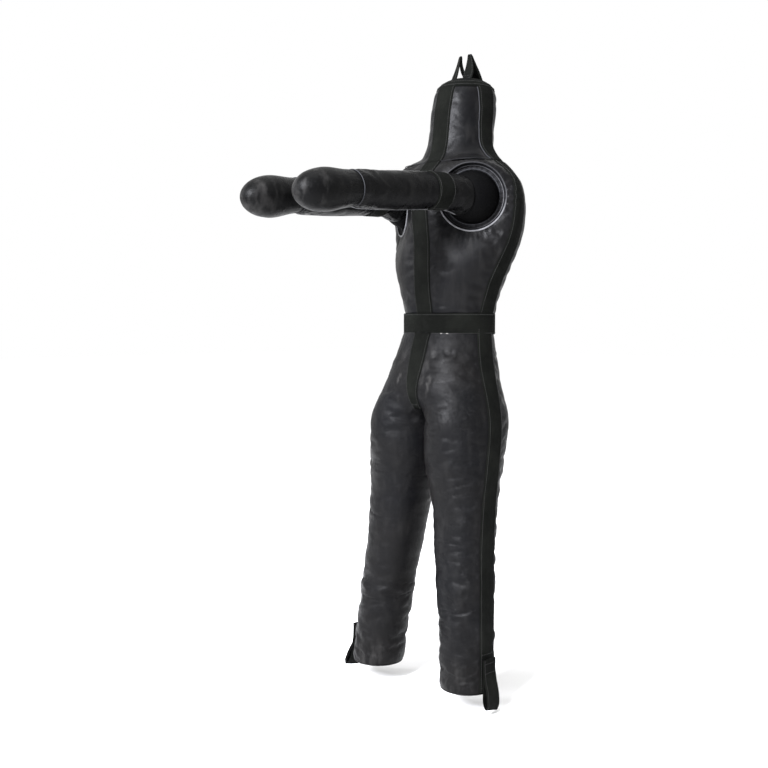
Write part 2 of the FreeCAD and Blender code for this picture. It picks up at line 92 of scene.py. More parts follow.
# Trunk and hood: height, half width, half depth, middle in y.
BODY = np.array([
    (0.560, 0.204, 0.130, -0.118),
    (0.650, 0.202, 0.134, -0.111),
    (0.700, 0.198, 0.136, -0.106),
    (0.755, 0.187, 0.134, -0.100),
    (0.820, 0.168, 0.128, -0.090),
    (0.885, 0.150, 0.120, -0.079),
    (0.940, 0.138, 0.112, -0.070),
    (1.000, 0.136, 0.110, -0.063),
    (1.055, 0.151, 0.119, -0.062),
    (1.120, 0.175, 0.131, -0.053),
    (1.190, 0.198, 0.142, -0.041),
    (1.255, 0.209, 0.145, -0.036),
    (1.320, 0.205, 0.139, -0.033),
    (1.360, 0.188, 0.133, -0.031),
    (1.395, 0.155, 0.119, -0.029),
    (1.425, 0.117, 0.100, -0.024),
    (1.450, 0.097, 0.096, -0.020),
    (1.500, 0.086, 0.094, -0.015),
    (1.560, 0.086, 0.095, -0.006),
    (1.590, 0.084, 0.092, -0.001),
])
CROWN_Z, CROWN_RISE, CROWN_POWER = 1.590, 0.061, 2.25    # rounded top of the hood
CROWN_BACK = 0.006        # the forehead slopes back
# Left leg: height, middle in x, half width, half depth, middle in y.
LEG = np.array([
    (0.000, 0.165, 0.072, 0.072, -0.182),
    (0.120, 0.155, 0.074, 0.074, -0.172),
    (0.260, 0.141, 0.077, 0.078, -0.158),
    (0.400, 0.126, 0.081, 0.086, -0.144),
    (0.500, 0.116, 0.087, 0.097, -0.133),
    (0.600, 0.104, 0.098, 0.119, -0.120),
    (0.700, 0.100, 0.097, 0.132, -0.108),
    (0.760, 0.094, 0.091, 0.131, -0.101),
    (0.830, 0.084, 0.081, 0.125, -0.089),
])
# Middle of the side webbing: height, y.
SIDE_PATH = np.array([
    (0.000, -0.182), (0.500, -0.133), (0.700, -0.104), (0.860, -0.090), (1.000, -0.063),
    (1.080, -0.058), (1.190, -0.034), (1.320, -0.028), (1.450, -0.014), (1.520, -0.008),
    (1.640, -0.003),
])
NECK_SEAM = 1.408
BELT_LOW, BELT_HIGH = 0.937, 0.995
BELT_SQUEEZE = 0.0022     # how far the belt draws the stuffing in
LEATHER_LOW = 0.972       # where torso and trousers meet, under the belt
TROUSER_TOP = LEATHER_LOW - 0.002
TROUSER_GAP = 0.002       # a ray that slips between the two trouser halves moves aside by this
SPLIT_HIGH, SPLIT_LOW = 0.820, 0.700                     # the trunk turns into two legs
CROTCH_STRAP_END = 0.735
CROWN_PATCH_Z = 1.617
REPAIR_ANGLES = ((28.5, 31.5), (36.5, 39.5))             # of the pale stitches, from the front

ARMHOLE_TURN = math.radians(36)
ARMHOLE_RADIUS = 0.0895
ARMHOLE_DRAW = 0.100      # how far below an armhole the leather is pulled out to it
ARMHOLE_DRAW_TOP = 0.040  # and above it, where the shoulder is
ROOT_BALL = 0.070
ROOT_DEPTH = 0.015
PIPING = 0.0023
SLEEVE_ROOT, SLEEVE_WRIST = 0.048, 0.046
SLEEVE_START = 0.052      # distance from the shoulder's joint
BAND_START = 0.118
MITT_LENGTH, MITT_RADIUS, MITT_MIDDLE, WRIST_SEAM = 0.166, 0.0505, 0.082, -0.009
MITT_CUFF = 0.0430        # radius
MITT_DROOP = 5.0          # degrees
LEG_LOOP_LEANS = (2, 22)  # degrees outward: the left loop hangs straight, the right one has a set
# Hanging loops, left and right: front foot and back foot as shares of the CAD's half length, width.
HANG_LOOP_SHAPES = ((0.45, 0.80, 0.036), (0.70, 1.20, 0.018))
HANG_LOOP_TIP = 0.007     # width where the hook pinches it
LEG_LOOP_WIDTH = 0.050
ZIP_GAP = 0.0012          # half the gap between the tapes

# Most that the cloth simulation may move each kind of piece.
HOOD_PUFF, TORSO_PUFF, TROUSER_PUFF, SLEEVE_PUFF, MITT_PUFF = 0.0012, 0.0036, 0.0036, 0.0016, 0.0022
# Depth of the wrinkles, and how closely they follow each other along x, y and z.
TROUSER_WRINKLE, TROUSER_FOLDS = 0.0052, (5, 5, 29)
TORSO_WRINKLE, HOOD_WRINKLE, TRUNK_FOLDS = 0.0016, 0.0009, (7, 7, 12)
ARM_WRINKLE, ARM_FOLDS = 0.0009, (11, 24, 11)

RAY_FROM = 0.6            # guesses are dropped on the leather from this far out
# Rings of points, and points in each ring.
HOOD_GRID, TORSO_GRID, TROUSER_GRID, ROOT_GRID = (30, 112), (60, 156), (142, 100), (40, 72)
CROWN_RINGS, GUSSET_COLUMNS, SOLE_COLUMNS = 15, 180, 72
SLEEVE_RINGS, ARM_COLUMNS = 64, 60                       # a mitt has as many columns as a sleeve
CORD_SIDES, THIN_CORD_SIDES = 8, 6
# Cords sewn inside an armhole: radius of the ring, depth, radius of the cord.
ARMHOLE_WELT, ROOT_WELT = (0.0835, -0.0095, 0.0013), (0.0740, -0.0118, 0.0012)
SEAM_CORD, MITT_CORD, WRIST_CORD, HEAD_CORD, NECK_CORD, ZIP_LIP = (
    0.0013, 0.0012, 0.0015, 0.0017, 0.0012, 0.0024)      # radii
STITCH_RADIUS, STITCH_PITCH, STITCH_LENGTH = 0.0006, 0.0052, 0.0036
STITCH_INSET = 0.004      # from a strap's edge to its row of stitches
STRAP_RIM = 0.0011        # the woven edge of a strap


# --- small maths --------------------------------------------------------------------
def smooth(low, high, x):
    t = np.clip((np.asarray(x, float) - low) / (high - low), 0.0, 1.0)
    return t * t * (3.0 - 2.0 * t)


def between(table, heights):
    """Smooth curve through a table's rows, read at the given heights."""
    x, y = table[:, 0], table[:, 1:]
    slope = np.gradient(y, x, axis=0)
    h = np.clip(np.atleast_1d(heights), x[0], x[-1])
    i = np.clip(np.searchsorted(x, h) - 1, 0, len(x) - 2)
    step = (x[i + 1] - x[i])[:, None]
    t = (h - x[i])[:, None] / step
    t2, t3 = t * t, t * t * t
    start = (2 * t3 - 3 * t2 + 1) * y[i] + (t3 - 2 * t2 + t) * step * slope[i]
    end = (3 * t2 - 2 * t3) * y[i + 1] + (t3 - t2) * step * slope[i + 1]
    return start + end


def unit(v):
    v = np.asarray(v, float)
    return v / np.maximum(np.linalg.norm(v, axis=-1, keepdims=True), 1e-12)


def around(count):
    """Evenly spaced angles of one full turn."""
    return np.arange(count) * 2 * math.pi / count


def walked_along(points):
    """Distance of each point from the first, along the line."""
    return np.concatenate([[0.0], np.cumsum(np.linalg.norm(np.diff(points, axis=0), axis=1))])


def height_of(co):
    """Height of each point above the leg ends."""
    return co[:, 2] - LEG_END


def ripple(points, scale, seed):
    """Smooth noise from -1 to 1 at each point, stretched by scale along each axis."""
    shift = Vector((seed * 3.7, seed * 1.9, seed * 5.3))
    stretched = points * np.asarray(scale)
    return np.array([noise.noise(Vector(p) + shift) for p in stretched])


# --- meshes -------------------------------------------------------------------------
def put(name, verts, faces, materials, uv=None):
    """A new smooth-shaded object; uv is one pair per vertex."""
    mesh = bpy.data.meshes.new(name)
    mesh.from_pydata([tuple(v) for v in verts], [], faces)
    mesh.update()
    mesh.polygons.foreach_set("use_smooth", [True] * len(mesh.polygons))
    if uv is not None:
        layer = mesh.uv_layers.new(name="UVMap")
        loops = np.zeros(len(mesh.loops), np.int32)
        mesh.loops.foreach_get("vertex_index", loops)
        layer.data.foreach_set("uv", np.asarray(uv, np.float32)[loops].ravel())
    for material in materials:
        mesh.materials.append(material)
    obj = bpy.data.objects.new(name, mesh)
    bpy.context.scene.collection.objects.link(obj)
    return obj


def grid_faces(rows, columns, closed, first=0):
    faces = []
    for i in range(rows - 1):
        for j in range(columns if closed else columns - 1):
            k = (j + 1) % columns
            a, b = first + i * columns, first + (i + 1) * columns
            faces.append((a + j, a + k, b + k, b + j))
    return faces


def fan(first, columns, tip):
    """Triangles from a ring of vertices to the one at its middle."""
    return [(first + j, first + (j + 1) % columns, tip) for j in range(columns)]


def points_of(obj):
    co = np.zeros(len(obj.data.vertices) * 3, np.float32)
    obj.data.vertices.foreach_get("co", co)
    return co.reshape(-1, 3).astype(float)


def move_points(obj, co):
    obj.data.vertices.foreach_set("co", np.asarray(co, np.float32).ravel())
    obj.data.update()


def normals_of(obj):
    n = np.zeros(len(obj.data.vertices) * 3, np.float32)
    obj.data.vertex_normals.foreach_get("vector", n)
    return n.reshape(-1, 3).astype(float)


def surface(obj):
    """Ray-casting tree of a final mesh."""
    return BVHTree.FromPolygons([tuple(p) for p in points_of(obj)],
                                [tuple(p.vertices) for p in obj.data.polygons])


def subdivided(obj):
    """One level of subdivision, made part of the mesh."""
    modifier = obj.modifiers.new("round", "SUBSURF")
    modifier.levels = modifier.render_levels = 1
    modifier.boundary_smooth = "PRESERVE_CORNERS"
    graph = bpy.context.evaluated_depsgraph_get()
    mesh = bpy.data.meshes.new_from_object(obj.evaluated_get(graph))
    obj.modifiers.clear()
    obj.data = mesh
    return obj


# --- stuffing -----------------------------------------------------------------------
def stuff(pieces, frames=20):
    """Puffs leather shells: cloth held at its seams, pressed out by the filling, then applied.
    pieces is a list of (object, hold, cap): hold is 1 at a seam and 0 where the leather is free,
    and cap is the most that the leather may move."""
    rest = {}
    for obj, hold, _ in pieces:
        co = points_of(obj)
        rest[obj.name] = co
        bumps = 0.0012 * ripple(co, (30, 30, 45), 3) * (1.0 - hold)
        move_points(obj, co + normals_of(obj) * bumps[:, None])
        group = obj.vertex_groups.new(name="seams")
        for level in range(1, 11):
            picked = np.flatnonzero(np.round(hold * 10).astype(int) == level)
            group.add([int(v) for v in picked], level / 10.0, "REPLACE")
        cloth = obj.modifiers.new("filling", "CLOTH")
        settings = cloth.settings
        settings.quality = 5
        settings.mass = 0.35
        settings.tension_stiffness = settings.compression_stiffness = 22
        settings.shear_stiffness = 8
        settings.bending_stiffness = 0.8
        settings.use_pressure = True
        settings.uniform_pressure_force = 4.0
        settings.shrink_min = -0.035
        settings.vertex_group_mass = "seams"
        settings.effector_weights.gravity = 0.0
    scene = bpy.context.scene
    for number in range(1, frames + 1):
        scene.frame_set(number)
    graph = bpy.context.evaluated_depsgraph_get()
    for obj, _, cap in pieces:
        shown = obj.evaluated_get(graph)
        puffed = np.zeros(len(shown.data.vertices) * 3, np.float32)
        shown.data.vertices.foreach_get("co", puffed)
        move = puffed.reshape(-1, 3).astype(float) - rest[obj.name]
        size = np.linalg.norm(move, axis=1, keepdims=True)
        move *= cap * np.tanh(size / cap) / np.maximum(size, 1e-9)
        obj.modifiers.clear()
        obj.vertex_groups.clear()
        move_points(obj, rest[obj.name] + move)
    scene.frame_set(1)


# --- materials ----------------------------------------------------------------------
class Nodes:
    """Short way to wire a procedural material."""

    def __init__(self, name):
        self.material = bpy.data.materials.new(name)
        self.material.use_nodes = True
        self.tree = self.material.node_tree
        self.shader = self.tree.nodes["Principled BSDF"]
        coords = self.tree.nodes.new("ShaderNodeTexCoord").outputs
        self.here, self.uv = coords["Object"], coords["UV"]

    def wear_and_highlight(self):
        return self.node("Attribute", {"attribute_name": "wear_and_highlight"}).outputs["Fac"]

    def node(self, kind, settings=None, **inputs):
        made = self.tree.nodes.new("ShaderNode" + kind)
        for key, value in (settings or {}).items():
            setattr(made, key, value)
        for key, value in inputs.items():
            self.feed(made.inputs[key.replace("_", " ")], value)
        return made

    def feed(self, socket, value):
        if isinstance(value, bpy.types.NodeSocket):
            self.tree.links.new(value, socket)
        else:
            socket.default_value = value

    def stretch(self, source, scale, turn=0.0):
        made = self.node("Mapping", Vector=source)
        made.inputs["Scale"].default_value = scale
        made.inputs["Rotation"].default_value = (0, 0, turn)
        return made.outputs[0]

    def cloud(self, source, scale, detail=3.0, rough=0.55):
        made = self.node("TexNoise", Vector=source, Scale=scale, Detail=detail, Roughness=rough)
        return made.outputs["Fac"]

    def grey(self, value, low, high, from_low=0.0, from_high=1.0):
        made = self.node("MapRange", Value=value)
        limits = {"From Min": from_low, "From Max": from_high, "To Min": low, "To Max": high}
        for key, number in limits.items():
            made.inputs[key].default_value = number
        return made.outputs[0]

    def maths(self, kind, a, b):
        made = self.node("Math", {"operation": kind})
        self.feed(made.inputs[0], a)
        self.feed(made.inputs[1], b)
        return made.outputs[0]

    def mix(self, factor, a, b):
        made = self.node("Mix", {"data_type": "RGBA"})
        self.feed(made.inputs[0], factor)
        self.feed(made.inputs[6], a)
        self.feed(made.inputs[7], b)
        return made.outputs[2]

    def bump(self, height, distance, strength=1.0, under=None):
        made = self.node("Bump", Height=height, Distance=distance, Strength=strength)
        if under is not None:
            self.feed(made.inputs["Normal"], under)
        return made.outputs[0]

    def shade(self, colour=None, rough=None, normal=None, **uniform):
        """Wires the shader; uniform numbers are set on its own sockets."""
        if colour is not None:
            self.feed(self.shader.inputs["Base Color"], colour)
        if rough is not None:
            self.feed(self.shader.inputs["Roughness"], rough)
        if normal is not None:
            self.feed(self.shader.inputs["Normal"], normal)
        for key, value in uniform.items():
            self.shader.inputs[key.replace("_", " ")].default_value = value
        return self.material


def leather(name, dark, light, crease=1.0, gloss=0.40, shine=0.062):
    """Black coated leather: pebble grain, fine creases, soft dents, worn and dusty patches."""
    n = Nodes(name)
    here = n.here
    wander = n.node("TexNoise", Vector=here, Scale=26.0, Detail=2.0).outputs["Color"]
    bent = n.node("MixRGB", {"blend_type": "LINEAR_LIGHT"},
                  Fac=0.035, Color1=here, Color2=wander).outputs[0]
    pebbles = n.node("TexVoronoi", Vector=here, Scale=620.0).outputs["Distance"]
    pores = n.cloud(here, 1500.0, 2.0)
    grain = n.maths("ADD", n.grey(pebbles, 1.0, 0.0, 0.0, 0.9), n.maths("MULTIPLY", pores, 0.35))
    cracks = n.node("TexVoronoi", {"feature": "DISTANCE_TO_EDGE"},
                    Vector=n.stretch(bent, (34, 34, 62)))
    lines = n.grey(cracks.outputs["Distance"], 0.0, 1.0, 0.0, 0.07)
    patchy = n.grey(n.cloud(here, 9.0, 2.0), 0.0, 1.0, 0.42, 0.66)
    folds = n.cloud(n.stretch(bent, (14, 14, 38)), 1.0, 4.0)
    dents = n.cloud(here, 22.0, 2.0)
    normal = n.bump(dents, 0.0035 * crease, 0.55)
    normal = n.bump(folds, 0.0026 * crease, 0.55, normal)
    lines = n.maths("ADD", lines, n.maths("MULTIPLY", patchy, -1.0))
    normal = n.bump(lines, 0.0004 * crease, 0.5, normal)
    normal = n.bump(grain, 0.00022, 0.75, normal)
    wear_and_highlight = n.wear_and_highlight()
    tint = n.cloud(here, 5.0, 3.0)
    base = n.mix(n.grey(tint, 0.0, 1.0, 0.35, 0.65), (*dark, 1), (*light, 1))
    streaks = n.cloud(n.stretch(here, (40, 40, 12)), 1.0, 5.0)
    dust = n.maths("MULTIPLY", n.grey(streaks, 0.0, 1.0, 0.5, 0.75), wear_and_highlight)
    base = n.mix(n.maths("MULTIPLY", dust, 0.8), base, (0.060, 0.058, 0.056, 1))
    base = n.mix(n.grey(pebbles, 0.0, 0.35, 0.35, 0.9), base, (0.004, 0.004, 0.004, 1))
    patches = n.grey(n.cloud(here, 13.0, 3.0), gloss - 0.07, gloss + 0.12, 0.3, 0.7)
    rough = n.maths("ADD", patches, n.maths("MULTIPLY", wear_and_highlight, 0.10))
    return n.shade(base, rough, normal, Specular_IOR_Level=shine)


def webbing(name, dark, light, pitch=0.0021):
    """Flat woven webbing: herringbone ribs, slubs, lint and worn patches; uv in metres."""
    n = Nodes(name)
    where = n.uv
    split = n.node("SeparateXYZ", Vector=where)
    across, along = split.outputs[0], split.outputs[1]
    column = n.maths("PINGPONG", across, 0.0072)
    slant = n.maths("ADD", along, column)
    ribs = n.maths("SINE", n.maths("MULTIPLY", slant, 2 * math.pi / pitch), 0.0)
    warp = n.maths("SINE", n.maths("MULTIPLY", across, 2 * math.pi / 0.0012), 0.0)
    height = n.maths("ADD", ribs, n.maths("MULTIPLY", warp, 0.5))
    lint = n.cloud(n.here, 900.0, 3.0, 0.7)
    slub = n.cloud(n.stretch(where, (900, 60, 1)), 1.0, 2.0)
    soft = n.cloud(n.here, 45.0, 3.0)
    normal = n.bump(soft, 0.0012, 0.5)
    normal = n.bump(height, 0.00028, 0.8, normal)
    normal = n.bump(lint, 0.00025, 0.6, normal)
    base = n.mix(n.grey(height, 0.0, 1.0, -1.2, 1.3), (*dark, 1), (*light, 1))
    base = n.mix(n.grey(n.cloud(n.here, 12.0, 4.0), 0.0, 0.55, 0.45, 0.75), base,
                 tuple(1.9 * c for c in light) + (1,))
    base = n.mix(n.grey(slub, 0.0, 0.3, 0.55, 0.8), base, (0.014, 0.015, 0.013, 1))
    base = n.mix(n.grey(lint, 0.0, 0.4, 0.68, 0.82), base, (0.026, 0.026, 0.024, 1))
    rough = n.grey(soft, 0.78, 0.92, 0.3, 0.7)
    return n.shade(base, rough, normal, Specular_IOR_Level=0.04)


def plain_cloth(name, dark, light, scale):
    """Close-woven dull cloth."""
    n = Nodes(name)
    here = n.here
    weave = n.node("TexWave", Vector=here, Scale=scale, Distortion=1.0, Detail=1.0).outputs["Fac"]
    cross = n.node("TexWave", {"bands_direction": "Z"},
                   Vector=here, Scale=scale, Distortion=1.0).outputs["Fac"]
    height = n.maths("MULTIPLY", weave, cross)
    folds = n.cloud(here, 60.0, 3.0)
    normal = n.bump(height, 0.0002, 0.7, n.bump(folds, 0.002, 0.6))
    base = n.mix(n.grey(folds, 0.0, 1.0, 0.3, 0.7), (*dark, 1), (*light, 1))
    return n.shade(base, n.grey(height, 0.62, 0.8), normal, Specular_IOR_Level=0.12)


def cord_leather(name, dark, light):
    """Leather rolled over a piping cord: fine twist lines, scuffs, and a pale mix drawn by a
    per-point attribute: real rubbing on most cords, painted highlight on the armhole rims.
    """
    n = Nodes(name)
    here = n.here
    scuffs = n.cloud(here, 70.0, 5.0, 0.7)
    fine = n.cloud(here, 1100.0, 2.0)
    pinch = n.cloud(here, 260.0, 2.0)
    normal = n.bump(fine, 0.00015, 0.6, n.bump(pinch, 0.0007, 0.6))
    wear_and_highlight = n.wear_and_highlight()
    # Pale where rubbed, and painted highlight where the armhole cords are marked pale.
    rubbed_and_lit = n.maths("MULTIPLY", n.grey(scuffs, 0.55, 1.0, 0.38, 0.62), wear_and_highlight)
    base = n.mix(rubbed_and_lit, (*dark, 1), (*light, 1))
    return n.shade(base, n.grey(scuffs, 0.42, 0.60), normal, Specular_IOR_Level=0.12)


def thread(name, colour):
    """Twisted polyester sewing thread."""
    n = Nodes(name)
    here = n.here
    twist = n.cloud(here, 2600.0, 1.0)
    dark, light = (tuple(share * c for c in colour) + (1,) for share in (0.6, 1.3))
    base, rough = n.mix(twist, dark, light), n.grey(twist, 0.45, 0.7)
    return n.shade(base, rough, n.bump(twist, 0.0001, 0.6), Specular_IOR_Level=0.35)


def old_brass(name):
    """Dulled cast zip metal with patches of dark dirt."""
    n = Nodes(name)
    here = n.here
    dirt = n.cloud(here, 420.0, 4.0, 0.7)
    scratch = n.cloud(n.stretch(here, (3000, 3000, 260)), 1.0, 2.0)
    base = n.mix(n.grey(dirt, 0.0, 1.0, 0.4, 0.65), (0.10, 0.085, 0.055, 1), (0.34, 0.29, 0.20, 1))
    rough = n.grey(scratch, 0.28, 0.5, 0.3, 0.7)
    return n.shade(base, rough, n.bump(scratch, 0.00006, 0.5), Metallic=1.0)


DARK_LEATHER, PALE_LEATHER = (0.0018, 0.0019, 0.0024), (0.0034, 0.0032, 0.0032)
LEATHER = leather("leather", DARK_LEATHER, PALE_LEATHER, gloss=0.36)
TRUNK_LEATHER = leather("trunk_leather", DARK_LEATHER, PALE_LEATHER,
                        crease=0.3, gloss=0.34, shine=0.070)
ARM_LEATHER = leather("arm_leather", (0.0010, 0.0010, 0.0012), (0.0018, 0.0018, 0.0018),
                      crease=0.6, gloss=0.27, shine=0.052)
# Painted shade: the arm root sunk in the armhole gets a darker copy of the leather, standing in for
# the shade there.
SHADED_ROOT_LEATHER = leather("shaded_root_leather", (0.0008, 0.0008, 0.0010), (0.0014, 0.0014, 0.0014),
                       gloss=0.55, shine=0.015)
WEB = webbing("webbing", (0.0010, 0.0012, 0.0010), (0.0036, 0.0039, 0.0032))
TAPE = webbing("zip_tape", (0.006, 0.006, 0.006), (0.015, 0.015, 0.015), pitch=0.0013)
GUSSET = plain_cloth("gusset_cloth", (0.0022, 0.0022, 0.0026), (0.0050, 0.0050, 0.0060),
                     420.0)
CORD = cord_leather("piping", (0.005, 0.005, 0.006), (0.140, 0.140, 0.145))
DARK_CORD = cord_leather("dark_piping", (0.003, 0.003, 0.004), (0.030, 0.031, 0.034))
THREAD = thread("thread", (0.016, 0.016, 0.015))
PALE_THREAD = thread("pale_thread", (0.28, 0.27, 0.25))
BRASS = old_brass("zip_metal")


# --- body surfaces ------------------------------------------------------------------
def ring_on(height, angles, half_x, half_y, y):
    """Level ellipse; angle 0 is the front and grows towards the left arm."""
    x = half_x * np.sin(angles)
    return np.stack([x, y - half_y * np.cos(angles), np.full_like(angles, up(height))], axis=1)


def body_rows(heights):
    """Half width, half depth and middle of the trunk, drawn in where the belt is pulled tight."""
    heights = np.atleast_1d(heights)
    rows = between(BODY, heights)
    tight = smooth(BELT_LOW - 0.014, BELT_LOW + 0.004, heights)
    tight = tight * (1 - smooth(BELT_HIGH - 0.004, BELT_HIGH + 0.012, heights))
    rows[:, :2] -= BELT_SQUEEZE * tight[:, None]
    return rows


def body_rings(heights, columns):
    angles = around(columns)
    return np.array([ring_on(h, angles, *row) for h, row in zip(heights, body_rows(heights))])


def hood_points():
    """Hood from the neck seam over the crown; the last point is the middle of the crown."""
    rows, columns = HOOD_GRID
    side = body_rings(np.linspace(NECK_SEAM, CROWN_Z, rows), columns)
    angles = around(columns)
    half_x, half_y, y = BODY[-1, 1:]
    rings = []
    for k in range(1, CROWN_RINGS):
        t = math.sin(k / CROWN_RINGS * math.pi / 2) ** 0.9
        size = (1.0 - t ** CROWN_POWER) ** (1.0 / CROWN_POWER)
        rings.append(ring_on(CROWN_Z + CROWN_RISE * t, angles,
                             half_x * size, half_y * size, y + CROWN_BACK * t))
    top = np.array([[0.0, y + CROWN_BACK, up(CROWN_Z + CROWN_RISE)]])
    return np.concatenate([side, np.array(rings)]), top


def seam_dip(height, seam, depth=0.0022, width=0.004):
    """How far a sewn edge is drawn in."""
    return depth * np.exp(-((height - seam) / width) ** 2)


def make_hood():
    rings, top = hood_points()
    rows, columns = rings.shape[:2]
    verts = np.concatenate([rings.reshape(-1, 3), top])
    faces = grid_faces(rows, columns, True)
    faces += fan((rows - 1) * columns, columns, len(verts) - 1)
    hood = put("hood", drawn_to_armholes(verts), faces, [TRUNK_LEATHER])
    co = points_of(hood)
    inward = normals_of(hood) * seam_dip(height_of(co), NECK_SEAM)[:, None]
    move_points(hood, co - inward)
    return hood


def armhole_axis(sign):
    centre = joint_at("arm_raise_left" if sign > 0 else "arm_raise_right")
    out = np.array([sign * math.sin(ARMHOLE_TURN), -math.cos(ARMHOLE_TURN), 0.0])
    return centre + out * ROOT_DEPTH, out


def armhole_place(co, sign):
    """Depth in front of the armhole's plane, distance from its axis, and the outward direction."""
    centre, out = armhole_axis(sign)
    offset = co - centre
    depth = offset @ out
    flat = offset - depth[:, None] * out
    return depth, np.linalg.norm(flat, axis=1), unit(flat)


def drawn_to_armholes(co):
    """Leather pulled out to the round openings of the arms, fading away from them."""
    co = co.copy()
    for _, sign in SIDES:
        _, out = armhole_axis(sign)
        depth, radius, away = armhole_place(co, sign)
        near = 1 - smooth(0.030, 0.070, -depth)
        fade = ARMHOLE_DRAW + (ARMHOLE_DRAW_TOP - ARMHOLE_DRAW) * smooth(0.2, 0.9, away[:, 2])
        drawn = (1 - smooth(0.0, 1.0, (radius - ARMHOLE_RADIUS) / fade)) * near
        co -= out * (depth * drawn)[:, None]
    return co


def make_torso():
    rows, columns = TORSO_GRID
    rings = body_rings(np.linspace(LEATHER_LOW, NECK_SEAM, rows), columns)
    co = drawn_to_armholes(rings.reshape(-1, 3))
    zip_low, zip_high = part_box("zip_tapes")
    height = co[:, 2]
    flat = smooth(zip_low.z - 0.03, zip_low.z, height)
    flat = flat * (1 - smooth(zip_high.z, zip_high.z + 0.03, height))
    flat *= (co[:, 1] > 0) * (1 - smooth(0.020, 0.062, np.abs(co[:, 0])))
    co[:, 1] += (zip_low.y - 0.0012 - co[:, 1]) * flat
    faces = grid_faces(rows, columns, True)
    gone = np.zeros(len(co), bool)
    for _, sign in SIDES:
        depth, radius, _ = armhole_place(co, sign)
        gone |= (radius < ARMHOLE_RADIUS - 0.0035) & (depth > -0.035)
    faces = [face for face in faces if not any(gone[v] for v in face)]
    used = np.zeros(len(co), int)
    for face in faces:
        used[list(face)] += 1
    keep = np.flatnonzero(used)
    number = np.full(len(co), -1)
    number[keep] = np.arange(len(keep))
    faces = [tuple(int(number[v]) for v in face) for face in faces]
    torso = put("torso_shell", co[keep], faces, [TRUNK_LEATHER])
    co, rim = co[keep], np.zeros(len(keep))
    for _, sign in SIDES:
        centre, _ = armhole_axis(sign)
        depth, radius, away = armhole_place(co, sign)
        edge = (used[keep] < 4) & (np.abs(radius - ARMHOLE_RADIUS) < 0.02)
        edge &= np.abs(depth) < 0.02
        edge &= co[:, 2] < up(NECK_SEAM - 0.003)
        co[edge] = centre + away[edge] * ARMHOLE_RADIUS
        rim = np.maximum(rim, edge)
    move_points(torso, co)
    relax(torso, (rim == 0) & near_armholes(co, 0.03), 6)
    return torso


def near_armholes(co, margin):
    near = np.zeros(len(co), bool)
    for _, sign in SIDES:
        depth, radius, _ = armhole_place(co, sign)
        near |= (radius < ARMHOLE_RADIUS + margin) & (np.abs(depth) < 0.05)
    return near


def relax(obj, free, times):
    """Evens out the free points between their neighbours."""
    co = points_of(obj)
    edges = np.zeros(len(obj.data.edges) * 2, np.int32)
    obj.data.edges.foreach_get("vertices", edges)
    a, b = edges.reshape(-1, 2).T
    count = np.bincount(a, minlength=len(co)) + np.bincount(b, minlength=len(co))
    for _ in range(times):
        total = np.zeros_like(co)
        np.add.at(total, a, co[b])
        np.add.at(total, b, co[a])
        middle = total / count[:, None]
        co[free] += 0.5 * (middle[free] - co[free])
    move_points(obj, co)


def reach(origin, direction, centre, half):
    """Distance along each direction from origin to an ellipse round centre."""
    p, d = (origin - centre) / half, direction / half
    a, b, c = (d * d).sum(-1), (p * d).sum(-1), (p * p).sum(-1) - 1.0
    return (-b + np.sqrt(np.maximum(b * b - a * c, 1e-9))) / a


def soft_least(a, b, blend):
    """The smaller of two lengths, rounded over where they meet."""
    h = np.maximum(blend - np.abs(a - b), 0.0) / blend
    return np.minimum(a, b) - h * h * blend * 0.25


def trouser_ring(height, columns):
    """One half of the hips, or one leg, as a level ring on the left side."""
    leg_x, leg_a, leg_b, leg_y = between(LEG, height)[0]
    body_a, body_b, body_y = body_rows(max(height, BODY[0, 0]))[0]
    turning = float(smooth(SPLIT_LOW, SPLIT_HIGH, height))
    middle = np.array([leg_x, leg_y + (body_y - leg_y) * turning])
    middle[0] -= 0.010 * float(smooth(SPLIT_HIGH, 0.97, height))
    angles = around(columns)
    ray = np.stack([np.sin(angles), -np.cos(angles)], axis=1)
    to_leg = reach(middle, ray, np.array([leg_x, leg_y]), np.array([leg_a, leg_b]))
    far = to_leg
    if turning > 0.0:
        to_body = reach(middle, ray, np.array([0.0, body_y]), np.array([body_a, body_b]))
        far = to_leg + (to_body - to_leg) * turning
    wall = (middle[0] - 0.0006) / np.maximum(-ray[:, 0], 1e-6)
    wall = np.where(ray[:, 0] < -1e-6, wall, 1.0)
    far = soft_least(far, wall, 0.003 + 0.013 * (1 - turning))
    flat = middle + ray * far[:, None]
    return np.column_stack([flat, np.full(columns, up(height))])


def make_trousers(name, sign):
    """One leg with its half of the hips, from under the belt to the rolled edge at its end."""
    rows, columns = TROUSER_GRID
    rings = [trouser_ring(h, columns) for h in np.linspace(0.004, TROUSER_TOP, rows)]
    end = trouser_ring(0.0, columns)
    middle = end.mean(axis=0)
    hem = [middle + (end - middle) * (size, size, 1) + (0, 0, lift)
           for size, lift in ((0.90, 0.0008), (0.945, -0.0004), (0.978, 0.0010))]
    rings = np.array(hem + rings)
    verts = rings.reshape(-1, 3) * (sign, 1, 1)
    faces = grid_faces(len(rings), columns, True)
    if sign < 0:
        faces = [face[::-1] for face in faces]
    return put(name, verts, faces, [LEATHER])


def arm_frame(sign, droop=0.0):
    """Root, wrist, and three unit directions: along the arm, sideways and up.
    The mitt's own frame droops a little below the arm's."""
    side = "left" if sign > 0 else "right"
    root, wrist = joint_at("arm_raise_" + side), joint_at("mitt_bend_" + side)
    along = unit(unit(wrist - root) - np.array([0, 0, math.tan(math.radians(droop))]))
    across = unit(np.cross(along, (0, 0, 1)))
    return root, wrist, along, across, np.cross(across, along)


def arm_length(sign):
    root, wrist, _, _, _ = arm_frame(sign)
    return float(np.linalg.norm(wrist - root))


def round_rings(origin, along, across, rise, stations, columns):
    """Rings of the given radius at distances along an axis; angle 0 is up."""
    angles = around(columns)
    turn = np.cos(angles)[:, None] * rise + np.sin(angles)[:, None] * across
    return np.array([origin + along * t + turn * r for t, r in stations])


